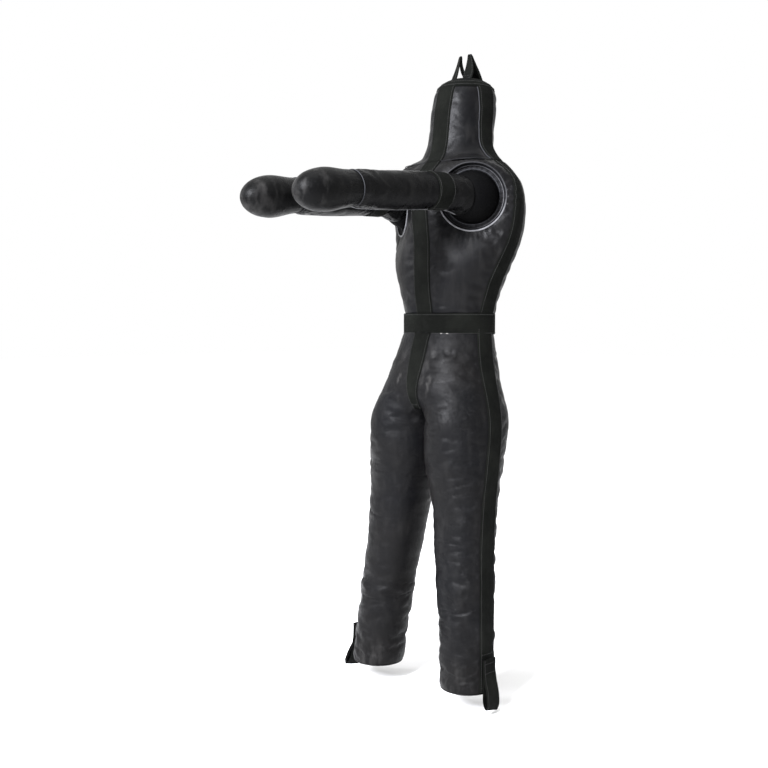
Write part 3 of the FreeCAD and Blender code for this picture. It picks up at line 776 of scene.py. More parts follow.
def sleeve_radius(t, length):
    base = SLEEVE_ROOT + (SLEEVE_WRIST - SLEEVE_ROOT) * t / length
    flare = 0.0050 * (1 - smooth(0.050, 0.110, t))
    swell = 0.0015 * np.exp(-((t - 0.30) / 0.07) ** 2)
    pinch = 0.0012 * np.exp(-((t - BAND_START - WEBBING / 2) / 0.035) ** 2)
    wrist = 0.0030 * np.exp(-((t - length - WRIST_SEAM) / 0.007) ** 2)
    return base + flare + swell - pinch - wrist


def sleeve_lift(t, length):
    """How far the sleeve's middle line bows up between its two ends."""
    return 0.0090 * smooth(0.030, BAND_START, t) * (1 - smooth(BAND_START, length, t))


def make_sleeve(name, sign):
    root, _, along, across, rise = arm_frame(sign)
    length = arm_length(sign)
    ts = np.linspace(SLEEVE_START, length + WRIST_SEAM, SLEEVE_RINGS)
    stations = [(t, sleeve_radius(t, length)) for t in ts]
    rings = round_rings(root, along, across, rise, stations, ARM_COLUMNS)
    rings = rings + rise * sleeve_lift(ts, length)[:, None, None]
    faces = grid_faces(SLEEVE_RINGS, ARM_COLUMNS, True)
    return put(name, rings.reshape(-1, 3), faces, [ARM_LEATHER])


def mitt_radius(t):
    if t > MITT_MIDDLE:
        past = (t - MITT_MIDDLE) / (MITT_LENGTH - MITT_MIDDLE)
        return MITT_RADIUS * math.sqrt(max(1 - past ** 2, 0.0))
    return MITT_CUFF + (MITT_RADIUS - MITT_CUFF) * float(smooth(0.0, MITT_MIDDLE, t))


def make_mitt(name, sign):
    _, wrist, along, across, rise = arm_frame(sign, MITT_DROOP)
    stations = [(t, mitt_radius(t)) for t in np.linspace(WRIST_SEAM, MITT_MIDDLE, 18)]
    span = MITT_LENGTH - MITT_MIDDLE
    for k in range(1, 20):
        t = MITT_MIDDLE + span * math.sin(k / 20 * math.pi / 2)
        stations.append((t, mitt_radius(t)))
    rings = round_rings(wrist, along, across, rise, stations, ARM_COLUMNS)
    verts = np.concatenate([rings.reshape(-1, 3), [wrist + along * MITT_LENGTH]])
    faces = grid_faces(len(rings), ARM_COLUMNS, True)
    faces += fan((len(rings) - 1) * ARM_COLUMNS, ARM_COLUMNS, len(verts) - 1)
    return put(name, verts, faces, [ARM_LEATHER])


# --- holds and creases --------------------------------------------------------------
def strap_hold(co):
    """1 where webbing or a seam holds the leather of trunk and legs, fading to 0 beside it."""
    height = height_of(co)
    half = WEBBING / 2
    side_y = between(SIDE_PATH, height)[:, 0]
    body_y = between(BODY, height)[:, 2]
    front = (1 - smooth(half, half + 0.012, np.abs(co[:, 0]))) * (co[:, 1] < body_y)
    front = front * smooth(0.70, 0.76, height)
    leg_x = np.where(height < 0.56, between(LEG, height)[:, 0], 0.0)
    outside = np.abs(co[:, 0]) > np.maximum(leg_x, 0.05)
    side = (1 - smooth(half, half + 0.012, np.abs(co[:, 1] - side_y))) * outside
    back = (1 - smooth(0.002, 0.010, np.abs(co[:, 0]))) * (co[:, 1] > body_y) * (height > 0.72)
    return np.maximum(np.maximum(front, side), back)


def edge_hold(height, edges, width=0.012):
    hold = np.zeros_like(height)
    for edge in edges:
        hold = np.maximum(hold, 1 - smooth(0.003, width, np.abs(height - edge)))
    return hold


def wrinkle(obj, free, depth, scale, seed):
    """Presses soft folds and sharper creases into the leather, where free is above 0."""
    co = points_of(obj)
    bend = 0.008 * ripple(co, (9, 9, 9), seed + 11)
    bent = co + np.stack([bend, bend, 1.6 * bend], axis=1)
    broad = ripple(bent, scale, seed)
    fine = ripple(bent, tuple(2.3 * s for s in scale), seed + 5)
    crease = np.maximum(0.0, 1.0 - np.abs(broad) / 0.11) ** 2
    gate = smooth(-0.25, 0.35, ripple(co, (8, 8, 10), seed + 2))
    move = depth * (0.50 * broad + 0.22 * fine - 0.62 * crease * gate) * free
    move_points(obj, co + normals_of(obj) * move[:, None])


def pucker_armholes(obj):
    """Short folds that radiate from the lower back of each armhole, and gathers all round."""
    co = points_of(obj)
    move = np.zeros(len(co))
    for _, sign in SIDES:
        centre, _ = armhole_axis(sign)
        depth, radius, _ = armhole_place(co, sign)
        sideways = np.array([math.cos(ARMHOLE_TURN) * sign, math.sin(ARMHOLE_TURN), 0.0])
        offset = co - centre
        angle = np.degrees(np.arctan2(offset @ sideways, -offset[:, 2]))
        past = radius - ARMHOLE_RADIUS
        ring = smooth(0.0, 0.006, past) * (1 - smooth(0.012, 0.040, past))
        ring = ring * (np.abs(depth) < 0.04)
        for middle, size in ((66, 0.7), (77, 1.0), (88, 1.0), (99, 0.6)):
            fold = np.exp(-((angle - middle) / 3.2) ** 2)
            valley = np.exp(-((angle - middle - 6) / 2.6) ** 2)
            move += ring * size * (0.0042 * fold - 0.0024 * valley)
        move += ring * 0.0005 * np.cos(np.radians(angle) * 46 + 2 * np.sin(np.radians(angle) * 5))
    move_points(obj, co + normals_of(obj) * move[:, None])


def add_wear_and_highlight(obj, wear_and_highlight):
    attribute = obj.data.attributes.new("wear_and_highlight", "FLOAT", "POINT")
    attribute.data.foreach_set("value", np.clip(wear_and_highlight, 0, 1).astype(np.float32))


def trunk_wear(co):
    """Rubbed leather: beside the crotch webbing, at the leg ends and on the chest."""
    height = height_of(co)
    body_y = between(BODY, height)[:, 2]
    crotch = np.exp(-((np.abs(co[:, 0]) - 0.050) / 0.016) ** 2 - ((height - 0.815) / 0.055) ** 2)
    crotch = crotch * (co[:, 1] < body_y)
    ends = 1 - smooth(0.01, 0.10, height)
    chest = 0.10 * np.exp(-((height - 1.19) / 0.06) ** 2)
    return 0.95 * crotch + 0.35 * ends + chest * (co[:, 1] < body_y) + 0.08


# --- webbing ------------------------------------------------------------------------
def strap_columns(width):
    """Places across a strap, with one exactly under each row of stitches."""
    inner = np.linspace(STITCH_INSET, width - STITCH_INSET, 9)
    return np.concatenate([[0.0, STRAP_RIM], inner, [width - STRAP_RIM, width]]) - width / 2


def blurred(field, closed):
    """Averages a lattice of directions along it."""
    pad = "wrap" if closed else "edge"
    wide = np.pad(field, ((2, 2), (0, 0), (0, 0)), mode=pad)
    total = sum(wide[k:k + len(field)] for k in range(5))
    wide = np.pad(total, ((0, 0), (1, 1), (0, 0)), mode="edge")
    total = sum(wide[:, k:k + field.shape[1]] for k in range(3))
    return unit(total)


def laid_on(tree, guesses, directions):
    """Drops a lattice of guesses onto a surface; returns the points and smoothed normals."""
    points, normals = np.zeros_like(guesses), np.zeros_like(guesses)
    for i in range(guesses.shape[0]):
        for j in range(guesses.shape[1]):
            place, normal, _, _ = tree.ray_cast(Vector(guesses[i, j]), Vector(directions[i, j]))
            if place is None:
                place, normal, _, _ = tree.find_nearest(Vector(guesses[i, j]))
            points[i, j], normals[i, j] = place, normal
    return points, blurred(normals, False)


class Sewing:
    """Collects stitches, each a short raised capsule of thread, to go on one piece."""

    def __init__(self):
        self.verts, self.faces = [], []

    def stitch(self, start, end, normal, radius=STITCH_RADIUS):
        along = unit(end - start)
        side = unit(np.cross(normal, along))
        lift = normal * radius * 0.9
        base = len(self.verts)
        for t, size in ((0.12, 0.75), (0.5, 1.0), (0.88, 0.75)):
            centre = start + (end - start) * t + lift * size
            for s, u in ((1, 0), (0, 1), (-1, 0), (0, -1)):
                self.verts.append(centre + (side * s + normal * u) * radius * size)
        self.verts += [start, end]
        for ring in (0, 4):
            for k in range(4):
                m = (k + 1) % 4
                a = base + ring
                self.faces.append((a + k, a + m, a + 4 + m, a + 4 + k))
        for k in range(4):
            m = (k + 1) % 4
            self.faces.append((base + 12, base + m, base + k))
            self.faces.append((base + 13, base + 8 + k, base + 8 + m))

    def row(self, line, normals):
        """Stitches at an even pitch along a line of points."""
        line, normals = np.asarray(line), np.asarray(normals)
        if len(line) < 2:
            return
        walked = walked_along(line)
        for k in range(int(walked[-1] / STITCH_PITCH)):
            a = k * STITCH_PITCH + 0.001
            read = ((a, line), (a + STITCH_LENGTH, line), (a + STITCH_LENGTH / 2, normals))
            start, end, normal = (np.array([np.interp(d, walked, values[:, c]) for c in range(3)])
                                  for d, values in read)
            self.stitch(start, end, unit(normal))

    def put_on(self, name, verts, faces, material, uv=None):
        """A new piece with these stitches on it, in thread."""
        count, plain = len(verts), len(faces)
        if self.verts:
            verts = np.concatenate([verts, np.array(self.verts)])
            faces = faces + [tuple(count + v for v in face) for face in self.faces]
        if uv is not None:
            uv = np.concatenate([uv, np.zeros((len(verts) - count, 2))])
        piece = put(name, verts, faces, [material, THREAD], uv)
        index = [0] * plain + [1] * (len(faces) - plain)
        piece.data.polygons.foreach_set("material_index", index)
        return piece


def band(name, points, normals, width, closed=False, thick=STRAP_THICK, ends=(), material=WEB):
    """Webbing over a lattice of points (along, across), with edge stitching and sewn-down ends."""
    columns = strap_columns(width)
    n, m = points.shape[:2]
    rim = 1.0 - np.abs(2 * (columns + width / 2) / width - 1) ** 26
    wave = 0.00018 * ripple(points.reshape(-1, 3), (90, 90, 90), 4).reshape(n, m)
    lift = thick * (0.45 + 0.55 * rim)[None, :] + wave
    top = points + normals * lift[:, :, None]
    under = points - normals * 0.0006
    verts = np.concatenate([top.reshape(-1, 3), under.reshape(-1, 3)])
    faces = []
    size = n * m
    for i in range(n if closed else n - 1):
        a, b = i * m, ((i + 1) % n) * m
        for j in range(m - 1):
            faces.append((a + j, a + j + 1, b + j + 1, b + j))
            faces.append((size + b + j, size + b + j + 1, size + a + j + 1, size + a + j))
        faces.append((a, b, size + b, size + a))
        faces.append((a + m - 1, size + a + m - 1, size + b + m - 1, b + m - 1))
    if not closed:
        for a, flip in ((0, False), ((n - 1) * m, True)):
            for j in range(m - 1):
                face = (a + j, size + a + j, size + a + j + 1, a + j + 1)
                faces.append(face[::-1] if flip else face)
    normal = np.cross(points[0, 1] - points[0, 0], points[1, 0] - points[0, 0])
    if normal @ normals[0, 0] < 0:
        faces = [face[::-1] for face in faces]
    middle = points[:, m // 2]
    walked = walked_along(middle)
    uv = np.stack(np.meshgrid(walked, columns, indexing="ij")[::-1], axis=-1).reshape(-1, 2)
    sewing = Sewing()
    for edge in (STITCH_INSET - width / 2, width / 2 - STITCH_INSET):
        j = int(np.argmin(np.abs(columns - edge)))
        line = np.concatenate([top[:, j], top[:1, j]]) if closed else top[:, j]
        up_line = np.concatenate([normals[:, j], normals[:1, j]]) if closed else normals[:, j]
        sewing.row(line, up_line)
    for i in ends:
        sewing.row(top[i, 2:-2], normals[i, 2:-2])
    return sewing.put_on(name, verts, faces, material, np.concatenate([uv, uv]))


def bridged(points, guesses):
    """Pulls each row straight across hollows, as taut webbing lies."""
    flat = points.copy()
    flat[:, :, 0], flat[:, :, 2] = guesses[:, :, 0], guesses[:, :, 2]
    for row in flat:
        x, y = row[:, 0], row[:, 1]
        taut = y.copy()
        for a in range(len(row)):
            for b in range(a + 2, len(row)):
                inside = slice(a + 1, b)
                t = (x[inside] - x[a]) / (x[b] - x[a])
                taut[inside] = np.minimum(taut[inside], y[a] + (y[b] - y[a]) * t)
        row[:, 1] = taut
    return flat


def front_band(name, tree, low, high, width_at=lambda height: WEBBING, ends=(), taut=False):
    heights = np.linspace(low, high, max(int((high - low) / 0.006), 4))
    columns = strap_columns(WEBBING)
    scale = np.array([width_at(h) / WEBBING for h in heights])
    guesses = np.array([[(s * k, -RAY_FROM, up(h)) for s in columns]
                        for h, k in zip(heights, scale)])
    directions = np.broadcast_to((0.0, 1.0, 0.0), guesses.shape)
    points, normals = laid_on(tree, guesses, directions)
    if taut:
        points = bridged(points, guesses)
        sideways = unit(points[:, -1:] - points[:, :1])
        upward = unit(np.gradient(points.mean(axis=1), axis=0))[:, None, :]
        normals = unit(normals * 0.3 + np.cross(sideways, upward))
    return band(name, points, normals, WEBBING, ends=ends)


def side_band(name, tree, sign, low, high, ends=(), step=0.006):
    heights = np.linspace(low, high, max(int((high - low) / step), 4))
    columns = strap_columns(WEBBING)
    middles = between(SIDE_PATH, heights)[:, 0]
    guesses = np.array([[(sign * RAY_FROM, y + s, up(h)) for s in columns]
                        for h, y in zip(heights, middles)])
    directions = np.broadcast_to((-sign, 0.0, 0.0), guesses.shape)
    points, normals = laid_on(tree, guesses, directions)
    return band(name, points, normals, WEBBING, ends=ends)


def ring_band(name, tree, centres, axis, spokes, width, lift, ends=()):
    """Webbing right round a limb or the waist, laid from outside along each spoke."""
    columns = strap_columns(width)
    guesses = np.array([[centres + axis * s + spoke * 0.5 for s in columns] for spoke in spokes])
    directions = np.array([[-spoke for _ in columns] for spoke in spokes])
    points, normals = laid_on(tree, guesses, directions)
    reach_out = np.einsum("ijk,ik->ij", points - centres, spokes)
    smoothed = np.mean([np.roll(reach_out, k, axis=0) for k in range(-3, 4)], axis=0)
    smoothed = np.maximum(smoothed, reach_out - 0.0005).mean(axis=1, keepdims=True)
    out = spokes[:, None, :] * (smoothed + lift)[:, :, None]
    points = centres + axis * columns[None, :, None] + out
    normals = np.broadcast_to(spokes[:, None, :], points.shape).copy()
    return band(name, points, normals, width, closed=True, ends=ends)


def cord_ring(name, points, normals, radius, material, closed=True, sides=CORD_SIDES, wear_and_highlight=0.5):
    """A tube along a line of points; its paleness, a number or one per point, is real rubbing on
    most cords and painted highlight on the armhole rims.
    """
    points, normals = np.asarray(points), unit(normals)
    if closed:
        tangent = unit(np.roll(points, -1, axis=0) - np.roll(points, 1, axis=0))
    else:
        tangent = unit(np.gradient(points, axis=0))
    side = unit(np.cross(tangent, normals))
    lift = np.cross(side, tangent)
    rings = []
    for k in range(sides):
        angle = 2 * math.pi * k / sides
        rings.append(points + radius * (math.cos(angle) * side + math.sin(angle) * lift))
    verts = np.array(rings).transpose(1, 0, 2).reshape(-1, 3)
    faces = grid_faces(len(points), sides, True)
    last = (len(points) - 1) * sides
    if closed:
        faces += [(last + j, last + (j + 1) % sides, (j + 1) % sides, j) for j in range(sides)]
    else:
        faces += [tuple(range(sides))[::-1], tuple(last + j for j in range(sides))]
    cord = put(name, verts, faces, [material])
    add_wear_and_highlight(cord, np.repeat(np.broadcast_to(wear_and_highlight, len(points)), sides))
    return cord


# --- build the leather --------------------------------------------------------------
hood = make_hood()
torso = make_torso()
trousers = {side: make_trousers("trousers_" + side, sign) for side, sign in SIDES}
sleeves = {side: make_sleeve("arm_sleeve_skin_" + side, sign) for side, sign in SIDES}
mitts = {side: make_mitt("mitt_skin_" + side, sign) for side, sign in SIDES}


def arm_hold(obj, sign, seams):
    """Seams round an arm, at the given distances along it."""
    root, _, along, _, _ = arm_frame(sign)
    return edge_hold((points_of(obj) - root) @ along, seams, 0.014)


def trunk_holds():
    """Where the hood and the torso are held, as (object, hold, cap) rows."""
    co = points_of(hood)
    height = height_of(co)
    hold = np.maximum(strap_hold(co), edge_hold(height, [NECK_SEAM]))
    hold = np.maximum(hold, smooth(CROWN_PATCH_Z - 0.02, CROWN_PATCH_Z, height))
    rows = [(hood, hold, HOOD_PUFF)]
    co = points_of(torso)
    hold = np.maximum(strap_hold(co), edge_hold(height_of(co), [LEATHER_LOW, 0.985, NECK_SEAM]))
    for _, sign in SIDES:
        depth, radius, _ = armhole_place(co, sign)
        rim = 1 - smooth(0.001, 0.014, radius - ARMHOLE_RADIUS)
        hold = np.maximum(hold, rim * (np.abs(depth) < 0.03))
    by_zip = (np.abs(co[:, 0]) < 0.03) & (co[:, 1] > 0)
    by_zip &= (co[:, 2] > up(1.16)) & (co[:, 2] < up(1.365))
    return rows + [(torso, np.maximum(hold, by_zip), TORSO_PUFF)]


def limb_holds(side, sign):
    """The same for one trouser half, sleeve and mitt."""
    co = points_of(trousers[side])
    height = height_of(co)
    hold = np.maximum(strap_hold(co), edge_hold(height, [0.0, TROUSER_TOP]))
    hold = np.maximum(hold, smooth(0.85, BELT_LOW, height))
    hold = np.maximum(hold, (np.abs(co[:, 0]) < 0.004) * 1.0)
    seam = arm_length(sign) + WRIST_SEAM
    bands = [SLEEVE_START, BAND_START, BAND_START + WEBBING / 2, BAND_START + WEBBING, seam]
    return [(trousers[side], hold, TROUSER_PUFF),
            (sleeves[side], arm_hold(sleeves[side], sign, bands), SLEEVE_PUFF),
            (mitts[side], arm_hold(mitts[side], sign, [seam]), MITT_PUFF)]


pieces = trunk_holds()
for side, sign in SIDES:
    pieces += limb_holds(side, sign)
stuff(pieces)
for obj, _, _ in pieces:
    subdivided(obj)


def crease_trunk():
    """Creases: strong and level on the legs, faint on the chest and the hood."""
    for side, sign in SIDES:
        co = points_of(trousers[side])
        height = height_of(co)
        free = 1 - 0.85 * strap_hold(co)
        free = free * smooth(0.0, 0.03, height) * (1 - smooth(0.90, 0.95, height))
        strength = 0.30 + 0.70 * (1 - smooth(0.48, 0.68, height))
        wrinkle(trousers[side], free * strength, TROUSER_WRINKLE, TROUSER_FOLDS, 21 + int(sign))
        add_wear_and_highlight(trousers[side], trunk_wear(points_of(trousers[side])))
    co = points_of(torso)
    height = height_of(co)
    free = (1 - strap_hold(co)) * smooth(0.99, 1.03, height) * (1 - smooth(1.37, 1.40, height))
    wrinkle(torso, free * (1 - 0.8 * near_armholes(co, 0.02)), TORSO_WRINKLE, TRUNK_FOLDS, 31)
    pucker_armholes(torso)
    add_wear_and_highlight(torso, trunk_wear(points_of(torso)))
    co = points_of(hood)
    height = height_of(co)
    free = (1 - strap_hold(co)) * smooth(NECK_SEAM, NECK_SEAM + 0.02, height)
    free = free * (0.3 + 0.7 * (1 - smooth(1.44, 1.50, height)))
    wrinkle(hood, free, HOOD_WRINKLE, TRUNK_FOLDS, 41)
    add_wear_and_highlight(hood, np.full(len(height), 0.12))


def crease_arm(obj, sign, seed):
    """Light creases, and small gathers at the wrist's seam."""
    root, _, along, across, rise = arm_frame(sign)
    co = points_of(obj)
    t = (co - root) @ along
    length = arm_length(sign)
    seam = np.exp(-((t - length - WRIST_SEAM) / 0.03) ** 2)
    wrinkle(obj, 0.5 + 0.7 * seam, ARM_WRINKLE, ARM_FOLDS, seed + int(sign))
    gather = 0.0003 * seam * np.cos(26 * np.arctan2((co - root) @ across, (co - root) @ rise))
    co = points_of(obj)
    move_points(obj, co + normals_of(obj) * gather[:, None])
    add_wear_and_highlight(obj, 0.08 + 0.3 * smooth(length + 0.06, length + 0.16, t))


crease_trunk()
for side, sign in SIDES:
    crease_arm(sleeves[side], sign, 51)
    crease_arm(mitts[side], sign, 61)

hood_tree, torso_tree = surface(hood), surface(torso)
trouser_trees = {side: surface(trousers[side]) for side, _ in SIDES}
sleeve_trees = {side: surface(sleeves[side]) for side, _ in SIDES}


class Several:
    """Ray casts on several surfaces at once: the nearest hit counts."""

    def __init__(self, *trees):
        self.trees = trees

    def ray_cast(self, start, direction):
        for aside in (0.0, TROUSER_GAP, -TROUSER_GAP):
            begin = Vector(start) + Vector((aside, 0.0, 0.0))
            hits = [tree.ray_cast(begin, direction) for tree in self.trees]
            hits = [hit for hit in hits if hit[0] is not None]
            if hits:
                return min(hits, key=lambda hit: hit[3])
        return None, None, None, None

    def find_nearest(self, start):
        hits = [tree.find_nearest(start) for tree in self.trees]
        return min(hits, key=lambda hit: hit[3])


both_trousers = Several(*trouser_trees.values())
waist_tree = Several(torso_tree, *trouser_trees.values())

# --- webbing on the trunk -----------------------------------------------------------
HEAD_SPAN = (NECK_SEAM, CROWN_PATCH_Z + 0.004)           # low and high end of the webbing
TORSO_SPAN = (LEATHER_LOW + 0.004, NECK_SEAM - 0.001)
LEG_SPAN = (0.003, LEATHER_LOW - 0.004)
head_front = front_band("head_front_webbing", hood_tree, *HEAD_SPAN)
torso_front = front_band("torso_front_webbing", torso_tree, *TORSO_SPAN)


def crotch_width(height):
    """The front webbing narrows towards the crotch."""
    return WEBBING * (0.42 + 0.58 * float(smooth(0.70, 0.90, height)))


hip_front = front_band("hip_front_webbing", both_trousers, CROTCH_STRAP_END, BELT_LOW + 0.005,
                       crotch_width, ends=(2,), taut=True)
head_sides, torso_sides, leg_sides = {}, {}, {}
for side, sign in SIDES:
    head_sides[side] = side_band("head_side_webbing_" + side, hood_tree, sign, *HEAD_SPAN)
    torso_sides[side] = side_band("torso_side_webbing_" + side, torso_tree, sign, *TORSO_SPAN,
                                  step=0.005)
    leg_sides[side] = side_band("leg_side_webbing_" + side, trouser_trees[side], sign, *LEG_SPAN,
                                ends=(2, 16))


def level_spokes(count):
    """Level directions all round, from the front."""
    angles = around(count)
    return np.stack([np.sin(angles), -np.cos(angles), np.zeros(count)], axis=1)


belt_middle = 0.5 * (BELT_LOW + BELT_HIGH)
waist_y = float(between(BODY, belt_middle)[0, 2])
belt = ring_band("waist_belt_webbing", waist_tree, np.array([0.0, waist_y, up(belt_middle)]),
                 np.array([0.0, 0.0, 1.0]), level_spokes(180), BELT_HIGH - BELT_LOW,
                 0.0016, ends=(117, 119, 126))


def make_repair():
    """Two short pale stitches through the belt's lower edge, left of its middle."""
    sewing = Sewing()
    low = up(BELT_LOW + 0.0035)
    tree = surface(belt)
    for pair in REPAIR_ANGLES:
        ends = []
        for angle in pair:
            out = Vector((math.sin(math.radians(angle)), -math.cos(math.radians(angle)), 0.0))
            place, normal, _, _ = tree.ray_cast(Vector((0, waist_y, low)) + out * 0.4, -out)
            ends.append(np.array(place))
        sewing.stitch(ends[0], ends[1], np.array(normal), radius=0.0008)
    return put("belt_repair_thread", np.array(sewing.verts), sewing.faces, [PALE_THREAD])


repair = make_repair()


# --- crown patch and hanging loops --------------------------------------------------
def make_crown_patch():
    """Webbing patch moulded over the crown, with two rings of stitches."""
    rings, top = hood_points()
    height = rings[:, 0, 2] - LEG_END
    rings = rings[height > CROWN_PATCH_Z - 0.004]
    columns = rings.shape[1]
    centre = top[0] - (0, 0, 0.06)
    layers = []
    for k, ring in enumerate(rings):
        out = unit(ring - centre)
        lift = 0.0030 if k else 0.0016
        layers.append(ring + out * lift)
    edge = rings[0] + unit(rings[0] - centre) * 0.0002
    layers = np.array([edge] + layers)
    verts = np.concatenate([layers.reshape(-1, 3), top + (0, 0, 0.0030)])
    faces = grid_faces(len(layers), columns, True)
    faces += fan((len(layers) - 1) * columns, columns, len(verts) - 1)
    sewing = Sewing()
    for k in (2, 4):
        loop = np.concatenate([layers[k], layers[k][:1]])
        sewing.row(loop, unit(loop - centre))
    return sewing.put_on("crown_patch_webbing", verts, faces, WEB, verts[:, :2])


crown = make_crown_patch()


def free_band(name, line, across, widths, thick=0.0025, sew=()):
    """Webbing that hangs free: a line of points, its sideways direction and its width at each."""
    line, across = np.asarray(line), unit(across)
    tangent = unit(np.gradient(line, axis=0))
    normal = unit(np.cross(across, tangent))
    width = max(widths)
    columns = strap_columns(width)
    scale = np.asarray(widths) / width
    points = line[:, None, :] + across[:, None, :] * (columns[None, :] * scale[:, None])[:, :, None]
    points = points - normal[:, None, :] * thick / 2
    crumple = 0.0009 * ripple(points.reshape(-1, 3), (55, 55, 55), 8).reshape(points.shape[:2])
    normals = np.broadcast_to(normal[:, None, :], points.shape).copy()
    return band(name, points + normals * crumple[:, :, None], normals, width, thick=thick, ends=sew)


def curve_through(points, count):
    """Evenly read smooth curve through a few points."""
    points = np.asarray(points, float)
    walked = walked_along(points)
    table = np.column_stack([walked, points])
    return between(table, np.linspace(0, walked[-1], count))


def make_hang_loop(side, sign, front, back, width):
    """A pinched pointed loop of webbing standing on the crown, pulled up by the hook.
    front and back are its feet, as shares of the CAD loop's half length."""
    low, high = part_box("hang_loop_" + side)
    x, y = 0.5 * (low.x + high.x), 0.5 * (low.y + high.y)
    half = 0.5 * (high.y - low.y)
    foot = up(CROWN_Z + CROWN_RISE) + 0.001
    a, b = y - front * half, y + back * half
    meet = foot + 0.42 * (high.z - foot)
    route = [(a - 0.006, foot - 0.010), (a, foot), (y - 0.006 - 0.2 * front * half, meet),
             (y - 0.0045, high.z - 0.016), (y - 0.0030, high.z - 0.0050), (y, high.z - 0.0018),
             (y + 0.0030, high.z - 0.0050), (y + 0.0045, high.z - 0.016),
             (y + 0.006 + 0.2 * back * half, meet), (b, foot), (b + 0.006, foot - 0.010)]
    line = curve_through([(0.0, p, q) for p, q in route], 60)
    rise = np.clip((line[:, 2] - foot) / (high.z - foot), 0, 1)
    line[:, 0] = x + sign * 0.0035 * np.sin(rise * math.pi) - sign * 0.004 * rise
    widths = width - (width - HANG_LOOP_TIP) * rise ** 1.2
    twist = 0.35 * rise * sign
    across = np.stack([np.cos(twist), np.sin(twist), 0 * twist], axis=1)
    return free_band("hang_loop_webbing_" + side, line, across, widths, sew=(3, 6, -4, -7))


hang_loops = {side: make_hang_loop(side, sign, *shape)
              for (side, sign), shape in zip(SIDES, HANG_LOOP_SHAPES)}


def make_leg_loop(side, sign, lean):
    """End of the side webbing: sewn down, then turned back on itself into a drooping loop."""
    low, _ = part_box("leg_loop_" + side)
    hinge = joint_at("leg_loop_swing_" + side)
    lean = math.tan(math.radians(lean))
    skin = sign * hinge[0] - 0.0065
    drop = hinge[2] - low.z
    route = [(-0.0010, 0.060), (-0.0010, 0.035), (0.0020, 0.008), (0.0075, -0.015),
             (0.0105, -0.038), (0.0085, 0.010 - drop), (0.0030, 0.0015 - drop),
             (-0.0030, 0.012 - drop), (-0.0050, -0.038), (-0.0040, -0.015), (-0.0035, 0.012)]
    line = curve_through([(a, 0.0, b) for a, b in route], 64)
    out = line[:, 0] + np.maximum(-line[:, 2], 0) * lean + skin + 0.0062
    table = np.column_stack([sign * out, np.full(len(line), hinge[1]), hinge[2] + line[:, 2]])
    slant = np.clip(-line[:, 2] / drop, 0, 1) ** 2
    across = np.stack([0 * slant, -np.ones(len(slant)), 0.22 * slant], axis=1)
    widths = np.full(len(line), LEG_LOOP_WIDTH)
    return free_band("leg_loop_webbing_" + side, table, across, widths, sew=(3, 10))


leg_loops = {side: make_leg_loop(side, sign, lean)
             for (side, sign), lean in zip(SIDES, LEG_LOOP_LEANS)}


# --- armholes and arms --------------------------------------------------------------
def circle_about(centre, out, radius, depth, count):
    """Points of a circle on an armhole's axis, with outward normals."""
    sideways = unit(np.cross(out, (0, 0, 1)))
    angles = around(count)
    away = np.cos(angles)[:, None] * sideways + np.sin(angles)[:, None] * np.array([0, 0, 1.0])
    return centre + out * depth + away * radius, away


def make_gusset(name, sign):
    """Gathered cloth ring sunk into the armhole, down to the arm's root."""
    centre, out = armhole_axis(sign)
    profile = [(0.0905, -0.0020), (0.0885, -0.0045), (0.0865, -0.0085), (0.0835, -0.0115),
               (0.0800, -0.0130), (0.0765, -0.0132), (0.0735, -0.0126), (0.0712, -0.0120),
               (0.0704, -0.0135), (0.0703, -0.0180)]
    count = GUSSET_COLUMNS
    turns = around(count)
    fold = np.cos(turns * 30 + 1.5 * np.sin(turns * 4))
    rings = []
    for k, (radius, depth) in enumerate(profile):
        ring, _ = circle_about(centre, out, radius, depth, count)
        pleat = 0.0011 * math.sin(math.pi * k / (len(profile) - 1)) ** 2
        rings.append(ring + out * (pleat * fold)[:, None])
    rings = np.array(rings)
    faces = grid_faces(len(profile), count, True)
    first = rings[0]
    test = np.cross(first[1] - first[0], rings[1][0] - first[0])
    if test @ out < 0:
        faces = [face[::-1] for face in faces]
    return put(name, rings.reshape(-1, 3), faces, [GUSSET])


def make_root(name, sign):
    """Stuffed ball of the arm in the armhole, sewn from six gores."""
    root, _, along, across, rise = arm_frame(sign)
    rows, columns = ROOT_GRID
    stations = []
    radius = ROOT_BALL - 0.0004
    for k in range(1, rows):
        angle = math.pi * k / rows
        stations.append((-radius * math.cos(angle), radius * math.sin(angle)))
    rings = round_rings(root, along, across, rise, stations, columns)
    turn = around(columns)
    gore = 0.0012 * np.exp(-(np.sin(turn * 3) / 0.12) ** 2)
    rings = rings - unit(rings - root) * gore[None, :, None]
    poles = [root - along * ROOT_BALL, root + along * ROOT_BALL]
    verts = np.concatenate([rings.reshape(-1, 3), poles])
    faces = grid_faces(len(rings), columns, True)
    last = (len(rings) - 1) * columns
    for j in range(columns):
        k = (j + 1) % columns
        faces.append((k, j, len(verts) - 2))
        faces.append((last + j, last + k, len(verts) - 1))
    return put(name, verts, faces, [SHADED_ROOT_LEATHER])


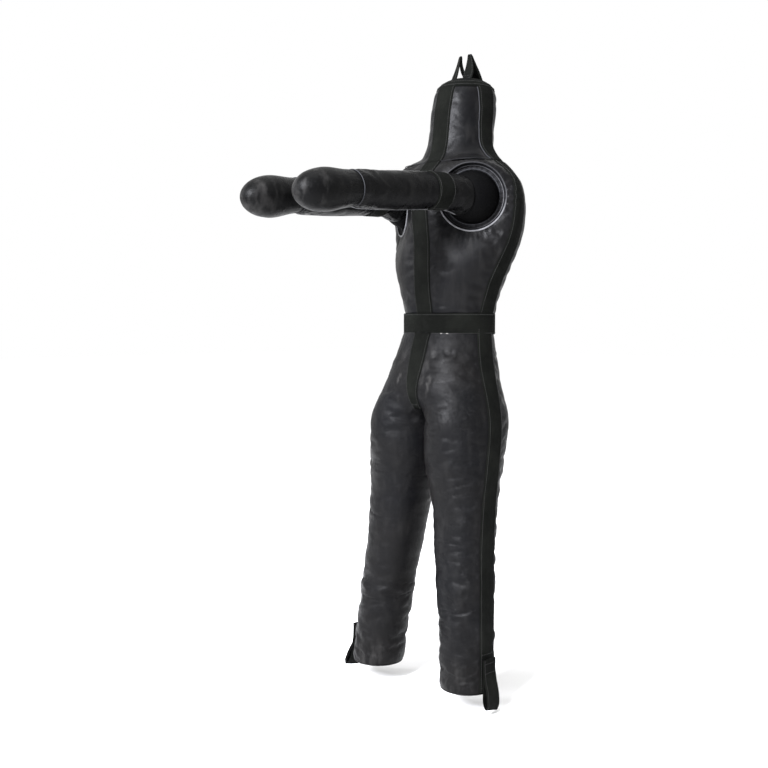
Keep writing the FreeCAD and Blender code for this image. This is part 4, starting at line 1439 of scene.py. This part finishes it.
def armhole_cords(side, sign):
    """Piping on the rim, a welt inside it and a dark cord round the arm's root."""
    centre, out = armhole_axis(sign)
    ring, away = circle_about(centre, out, ARMHOLE_RADIUS + 0.0012, 0.0006, 150)
    wobble = 0.0008 * ripple(ring, (30, 30, 30), 71)
    # Painted highlight: the rim piping is painted pale along its bottom and its back side, where
    # highlights fall, over a little even rubbing.
    rubbed_and_lit = 0.06 + 0.80 * smooth(-0.1, 0.8, -away[:, 2]) + 0.35 * smooth(0.3, 1.0, away[:, 1])
    piping = cord_ring("armhole_piping_cord_" + side, ring + away * wobble[:, None], away,
                       PIPING, CORD, wear_and_highlight=rubbed_and_lit)
    ring, away = circle_about(centre, out, *ARMHOLE_WELT[:2], 140)
    # Painted highlight: the welt is painted pale towards its back side.
    outer = cord_ring("armhole_welt_cord_" + side, ring, away, ARMHOLE_WELT[2], CORD,
                      sides=THIN_CORD_SIDES, wear_and_highlight=0.10 + 0.45 * smooth(0.0, 0.8, away[:, 1]))
    ring, away = circle_about(centre, out, *ROOT_WELT[:2], 140)
    inner = cord_ring("armhole_inner_cord_" + side, ring, away, ROOT_WELT[2], DARK_CORD,
                      sides=THIN_CORD_SIDES, wear_and_highlight=0.9)
    return piping, outer, inner


def round_spokes(count, across, rise):
    """Directions round an arm's axis, from its top."""
    turns = around(count)
    return np.cos(turns)[:, None] * rise + np.sin(turns)[:, None] * across


def arm_trim(side, sign):
    """The root in the armhole, the webbing band, and the seam under the sleeve."""
    root, _, along, across, rise = arm_frame(sign)
    length = arm_length(sign)
    ball = make_root("arm_root_ball_" + side, sign)
    middle = root + along * (BAND_START + WEBBING / 2) + rise * 0.008
    webbing_band = ring_band("arm_band_webbing_" + side, sleeve_trees[side], middle, along,
                             round_spokes(90, across, rise), WEBBING, 0.0004, ends=(44, 50))
    under = [root + along * t - rise * (sleeve_radius(t, length) - sleeve_lift(t, length) + 0.0006)
             for t in np.linspace(0.070, length + WRIST_SEAM, 70)]
    seam = cord_ring("arm_seam_cord_" + side, under, np.broadcast_to(-rise, (len(under), 3)),
                     SEAM_CORD, CORD, closed=False, sides=THIN_CORD_SIDES, wear_and_highlight=0.8)
    return {"ball": ball, "band": webbing_band, "seam": seam}


def mitt_trim(side, sign):
    """The seam under the mitt, and the welt round its wrist."""
    _, wrist, along, across, rise = arm_frame(sign, MITT_DROOP)
    below = [wrist + along * t - rise * (mitt_radius(t) + 0.0006)
             for t in np.linspace(WRIST_SEAM, 0.150, 40)]
    seam = cord_ring("mitt_seam_cord_" + side, below, np.broadcast_to(-rise, (len(below), 3)),
                     MITT_CORD, CORD, closed=False, sides=THIN_CORD_SIDES, wear_and_highlight=0.7)
    spokes = round_spokes(70, across, rise)
    cuff = wrist + along * WRIST_SEAM + spokes * (MITT_CUFF + 0.0008)
    welt = cord_ring("wrist_welt_cord_" + side, cuff, spokes, WRIST_CORD, DARK_CORD,
                     sides=THIN_CORD_SIDES)
    return {"seam": seam, "welt": welt}


armhole_pieces, arm_pieces, mitt_pieces = [], {}, {}
for side, sign in SIDES:
    gusset = make_gusset("armhole_gusset_cloth_" + side, sign)
    armhole_pieces.append((side, gusset, *armhole_cords(side, sign)))
    arm_pieces[side] = arm_trim(side, sign)
    mitt_pieces[side] = mitt_trim(side, sign)


# --- welts, hems and zip ------------------------------------------------------------
def welt_on(name, tree, guesses, direction, radius):
    """Thin piping sewn along a seam of the final leather."""
    points, normals = [], []
    for guess in guesses:
        place, normal, _, _ = tree.ray_cast(Vector(guess), Vector(direction))
        if place is not None:
            points.append(np.array(place) + np.array(normal) * radius * 0.5)
            normals.append(np.array(normal))
    return cord_ring(name, points, normals, radius, DARK_CORD, closed=False, sides=THIN_CORD_SIDES)


head_welts = {}
for side, sign in SIDES:
    heights = np.linspace(NECK_SEAM + 0.004, CROWN_PATCH_Z - 0.002, 60)
    middles = between(SIDE_PATH, heights)[:, 0] - WEBBING / 2 - 0.0025
    line = [(sign * RAY_FROM, y, up(h)) for h, y in zip(heights, middles)]
    head_welts[side] = welt_on("head_seam_cord_" + side, hood_tree, line, (-sign, 0, 0), HEAD_CORD)

half_x, half_y, neck_y = between(BODY, NECK_SEAM)[0]
neck_line = ring_on(NECK_SEAM, around(120), half_x - 0.0004, half_y - 0.0004, neck_y)
neck_line = drawn_to_armholes(neck_line)
neck_out = unit(neck_line - np.array([0, neck_y, up(NECK_SEAM) - 0.05]))
neck_welt = cord_ring("neck_seam_cord", neck_line, neck_out, NECK_CORD, DARK_CORD,
                      sides=THIN_CORD_SIDES, wear_and_highlight=0.0)


def make_leg_end(side):
    """Round leather sole, slightly domed, with a stitched rolled rim."""
    low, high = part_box("leg_end_cap_" + side)
    centre = np.array([0.5 * (low.x + high.x), 0.5 * (low.y + high.y), 0.0])
    radius = 0.5 * (high.x - low.x)
    columns = SOLE_COLUMNS
    flat = level_spokes(columns)
    profile = [(0.955, 0.0016), (0.985, 0.0010), (0.993, -0.0006), (0.982, -0.0022),
               (0.955, -0.0030), (0.925, -0.0022), (0.90, -0.0016), (0.75, -0.0026),
               (0.55, -0.0034), (0.35, -0.0038), (0.15, -0.0040)]
    rings = [centre + flat * radius * size + (0, 0, up(drop)) for size, drop in profile]
    verts = np.concatenate([np.array(rings).reshape(-1, 3), [centre + (0, 0, up(-0.0040))]])
    faces = [face[::-1] for face in grid_faces(len(rings), columns, True)]
    last = (len(rings) - 1) * columns
    faces += [(last + (j + 1) % columns, last + j, len(verts) - 1) for j in range(columns)]
    sewing = Sewing()
    loop = centre + flat * radius * 0.925 + (0, 0, up(-0.0024))
    sewing.row(np.concatenate([loop, loop[:1]]), np.broadcast_to((0, 0, -1.0), (columns + 1, 3)))
    cap = sewing.put_on("leg_end_skin_" + side, verts, faces, LEATHER)
    add_wear_and_highlight(cap, np.full(len(cap.data.vertices), 0.6))
    return cap


leg_ends = {side: make_leg_end(side) for side, _ in SIDES}

zip_low, zip_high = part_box("zip_tapes")
tape_pieces = []
for side, sign in SIDES:
    width = 0.5 * (zip_high.x - zip_low.x) - ZIP_GAP
    middle = sign * (ZIP_GAP + width / 2)
    heights = np.linspace(zip_low.z, zip_high.z, 30)
    points = np.array([[(middle + s, zip_low.y, z) for s in strap_columns(width)] for z in heights])
    normals = np.broadcast_to((0.0, 1.0, 0.0), points.shape).copy()
    tape_pieces.append(band("zip_tape_cloth_" + side, points, normals, width, thick=0.0016,
                            material=TAPE, ends=(1, -2)))
    lip = [(sign * (zip_high.x + 0.0010), zip_low.y + 0.0012, z)
           for z in np.linspace(zip_low.z - 0.004, zip_high.z + 0.004, 40)]
    tape_pieces.append(cord_ring("zip_lip_" + side, lip, np.broadcast_to((0, 1.0, 0), (len(lip), 3)),
                                 ZIP_LIP, DARK_CORD, closed=False))

for name in ("zip_teeth", "zip_slider", "zip_pull"):
    mesh = frame["nodes"][name].data
    mesh.materials.clear()
    mesh.materials.append(BRASS)


for piece in (hood, head_front, *head_sides.values(), *head_welts.values()):
    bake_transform(piece)
for piece in (torso, torso_front, *torso_sides.values()):
    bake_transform(piece)
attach(neck_welt, "torso")
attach(hip_front, "hips")
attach(belt, "hips")
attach(repair, "hips")
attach(crown, "head")
for piece in tape_pieces:
    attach(piece, "torso")
for side, sign in SIDES:
    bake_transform(trousers[side])
    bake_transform(leg_sides[side])
    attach(leg_ends[side], "leg_" + side)
    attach(sleeves[side], "arm_" + side)
    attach(arm_pieces[side]["band"], "arm_" + side)
    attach(arm_pieces[side]["seam"], "arm_" + side)
    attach(arm_pieces[side]["ball"], "arm_root_" + side)
    for piece in (mitts[side], mitt_pieces[side]["seam"], mitt_pieces[side]["welt"]):
        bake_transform(piece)
    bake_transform(hang_loops[side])
    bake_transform(leg_loops[side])
for side, *pieces_here in armhole_pieces:
    for piece in pieces_here:
        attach(piece, "torso")

# --- what each piece stands for -----------------------------------------------------
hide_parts("head_cover", "head_filling")
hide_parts("head_front_strap")
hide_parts("crown_patch")
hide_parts("torso_cover", "torso_filling")
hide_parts("torso_front_strap")
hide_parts("hip_front_strap")
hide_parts("waist_belt")
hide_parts("zip_tapes")
for side, *pieces_here in armhole_pieces:
    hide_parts("armhole_gusset_" + side)
    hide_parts("armhole_piping_" + side)
for side, sign in SIDES:
    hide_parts("head_side_strap_" + side)
    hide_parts("hang_loop_" + side)
    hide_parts("torso_side_strap_" + side)
    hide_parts("arm_root_" + side)
    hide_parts("arm_sleeve_" + side, "arm_filling_" + side)
    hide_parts("arm_band_" + side)
    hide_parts("mitt_cover_" + side, "mitt_filling_" + side)
    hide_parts("leg_cover_" + side, "leg_filling_" + side,
                "hip_cover", "hip_filling")
    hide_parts("leg_side_strap_" + side, "hip_side_strap_" + side)
    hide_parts("leg_end_cap_" + side)
    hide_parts("leg_loop_" + side)

# --- floor, lights, camera ----------------------------------------------------------
FLOOR_DROP = 0.012        # the dummy hangs clear of the floor
FLOOR_REACH = 24.0
floor_z = cad_box[0][2] - FLOOR_DROP
# Softboxes: name, place, what it points at, width and height, watts, tint.
CHEST, MIDDLE = (0.0, -0.1, -0.7), (0.0, -0.1, -0.75)
SOFTBOXES = (
    ("key", (0.6, -3.6, 1.1), CHEST, (0.9, 2.0), 780, (0.93, 0.94, 1.0)),
    ("side", (-2.6, -2.2, 0.5), MIDDLE, (0.8, 2.0), 60, (0.95, 0.96, 1.0)),
    ("top", (0.2, -0.6, 2.2), MIDDLE, (1.6, 1.6), 30, (1.0, 1.0, 1.0)),
)
WORLD_LIGHT = 1.0
CAMERA_PLACE = (1.864, -2.260, -0.740)
CAMERA_HEADING, CAMERA_PITCH = 44.0, -3.6                # degrees
CAMERA_SENSOR, CAMERA_LENS = 36.0, 47.8                  # millimetres


def make_floor():
    n = Nodes("floor")
    here = n.here
    speck = n.cloud(here, 3.0, 3.0)
    base = n.mix(n.grey(speck, 0.0, 1.0, 0.3, 0.7), (0.80, 0.80, 0.80, 1), (0.82, 0.82, 0.82, 1))
    n.shade(base, 0.9, Specular_IOR_Level=0.0, Emission_Color=(1, 1, 1, 1), Emission_Strength=0.2)
    corners = [(x * FLOOR_REACH, y * FLOOR_REACH, floor_z)
               for x, y in ((-1, -1), (1, -1), (1, 1), (-1, 1))]
    floor = put("floor", corners, [(0, 1, 2, 3)], [n.material])


def softbox(name, place, target, size, power, tint):
    light = bpy.data.lights.new(name, "AREA")
    light.shape = "RECTANGLE"
    light.size, light.size_y = size
    light.energy = power
    light.color = tint
    lamp = bpy.data.objects.new(name, light)
    lamp.location = place
    lamp.rotation_euler = (Vector(target) - Vector(place)).to_track_quat("-Z", "Y").to_euler()
    bpy.context.scene.collection.objects.link(lamp)


make_floor()
for row in SOFTBOXES:
    softbox(*row)

world = bpy.data.worlds.new("studio")
world.use_nodes = True
background = world.node_tree.nodes["Background"]
background.inputs["Color"].default_value = (1.0, 1.0, 1.0, 1)
background.inputs["Strength"].default_value = WORLD_LIGHT
bpy.context.scene.world = world

camera = bpy.data.cameras.new("camera")
camera.sensor_width = CAMERA_SENSOR
camera.lens = CAMERA_LENS
eye = bpy.data.objects.new("camera", camera)
eye.location = CAMERA_PLACE
eye.rotation_euler = (math.radians(90 + CAMERA_PITCH), 0.0, math.radians(CAMERA_HEADING))
bpy.context.scene.collection.objects.link(eye)
bpy.context.scene.camera = eye
bpy.context.scene.view_settings.view_transform = "Standard"
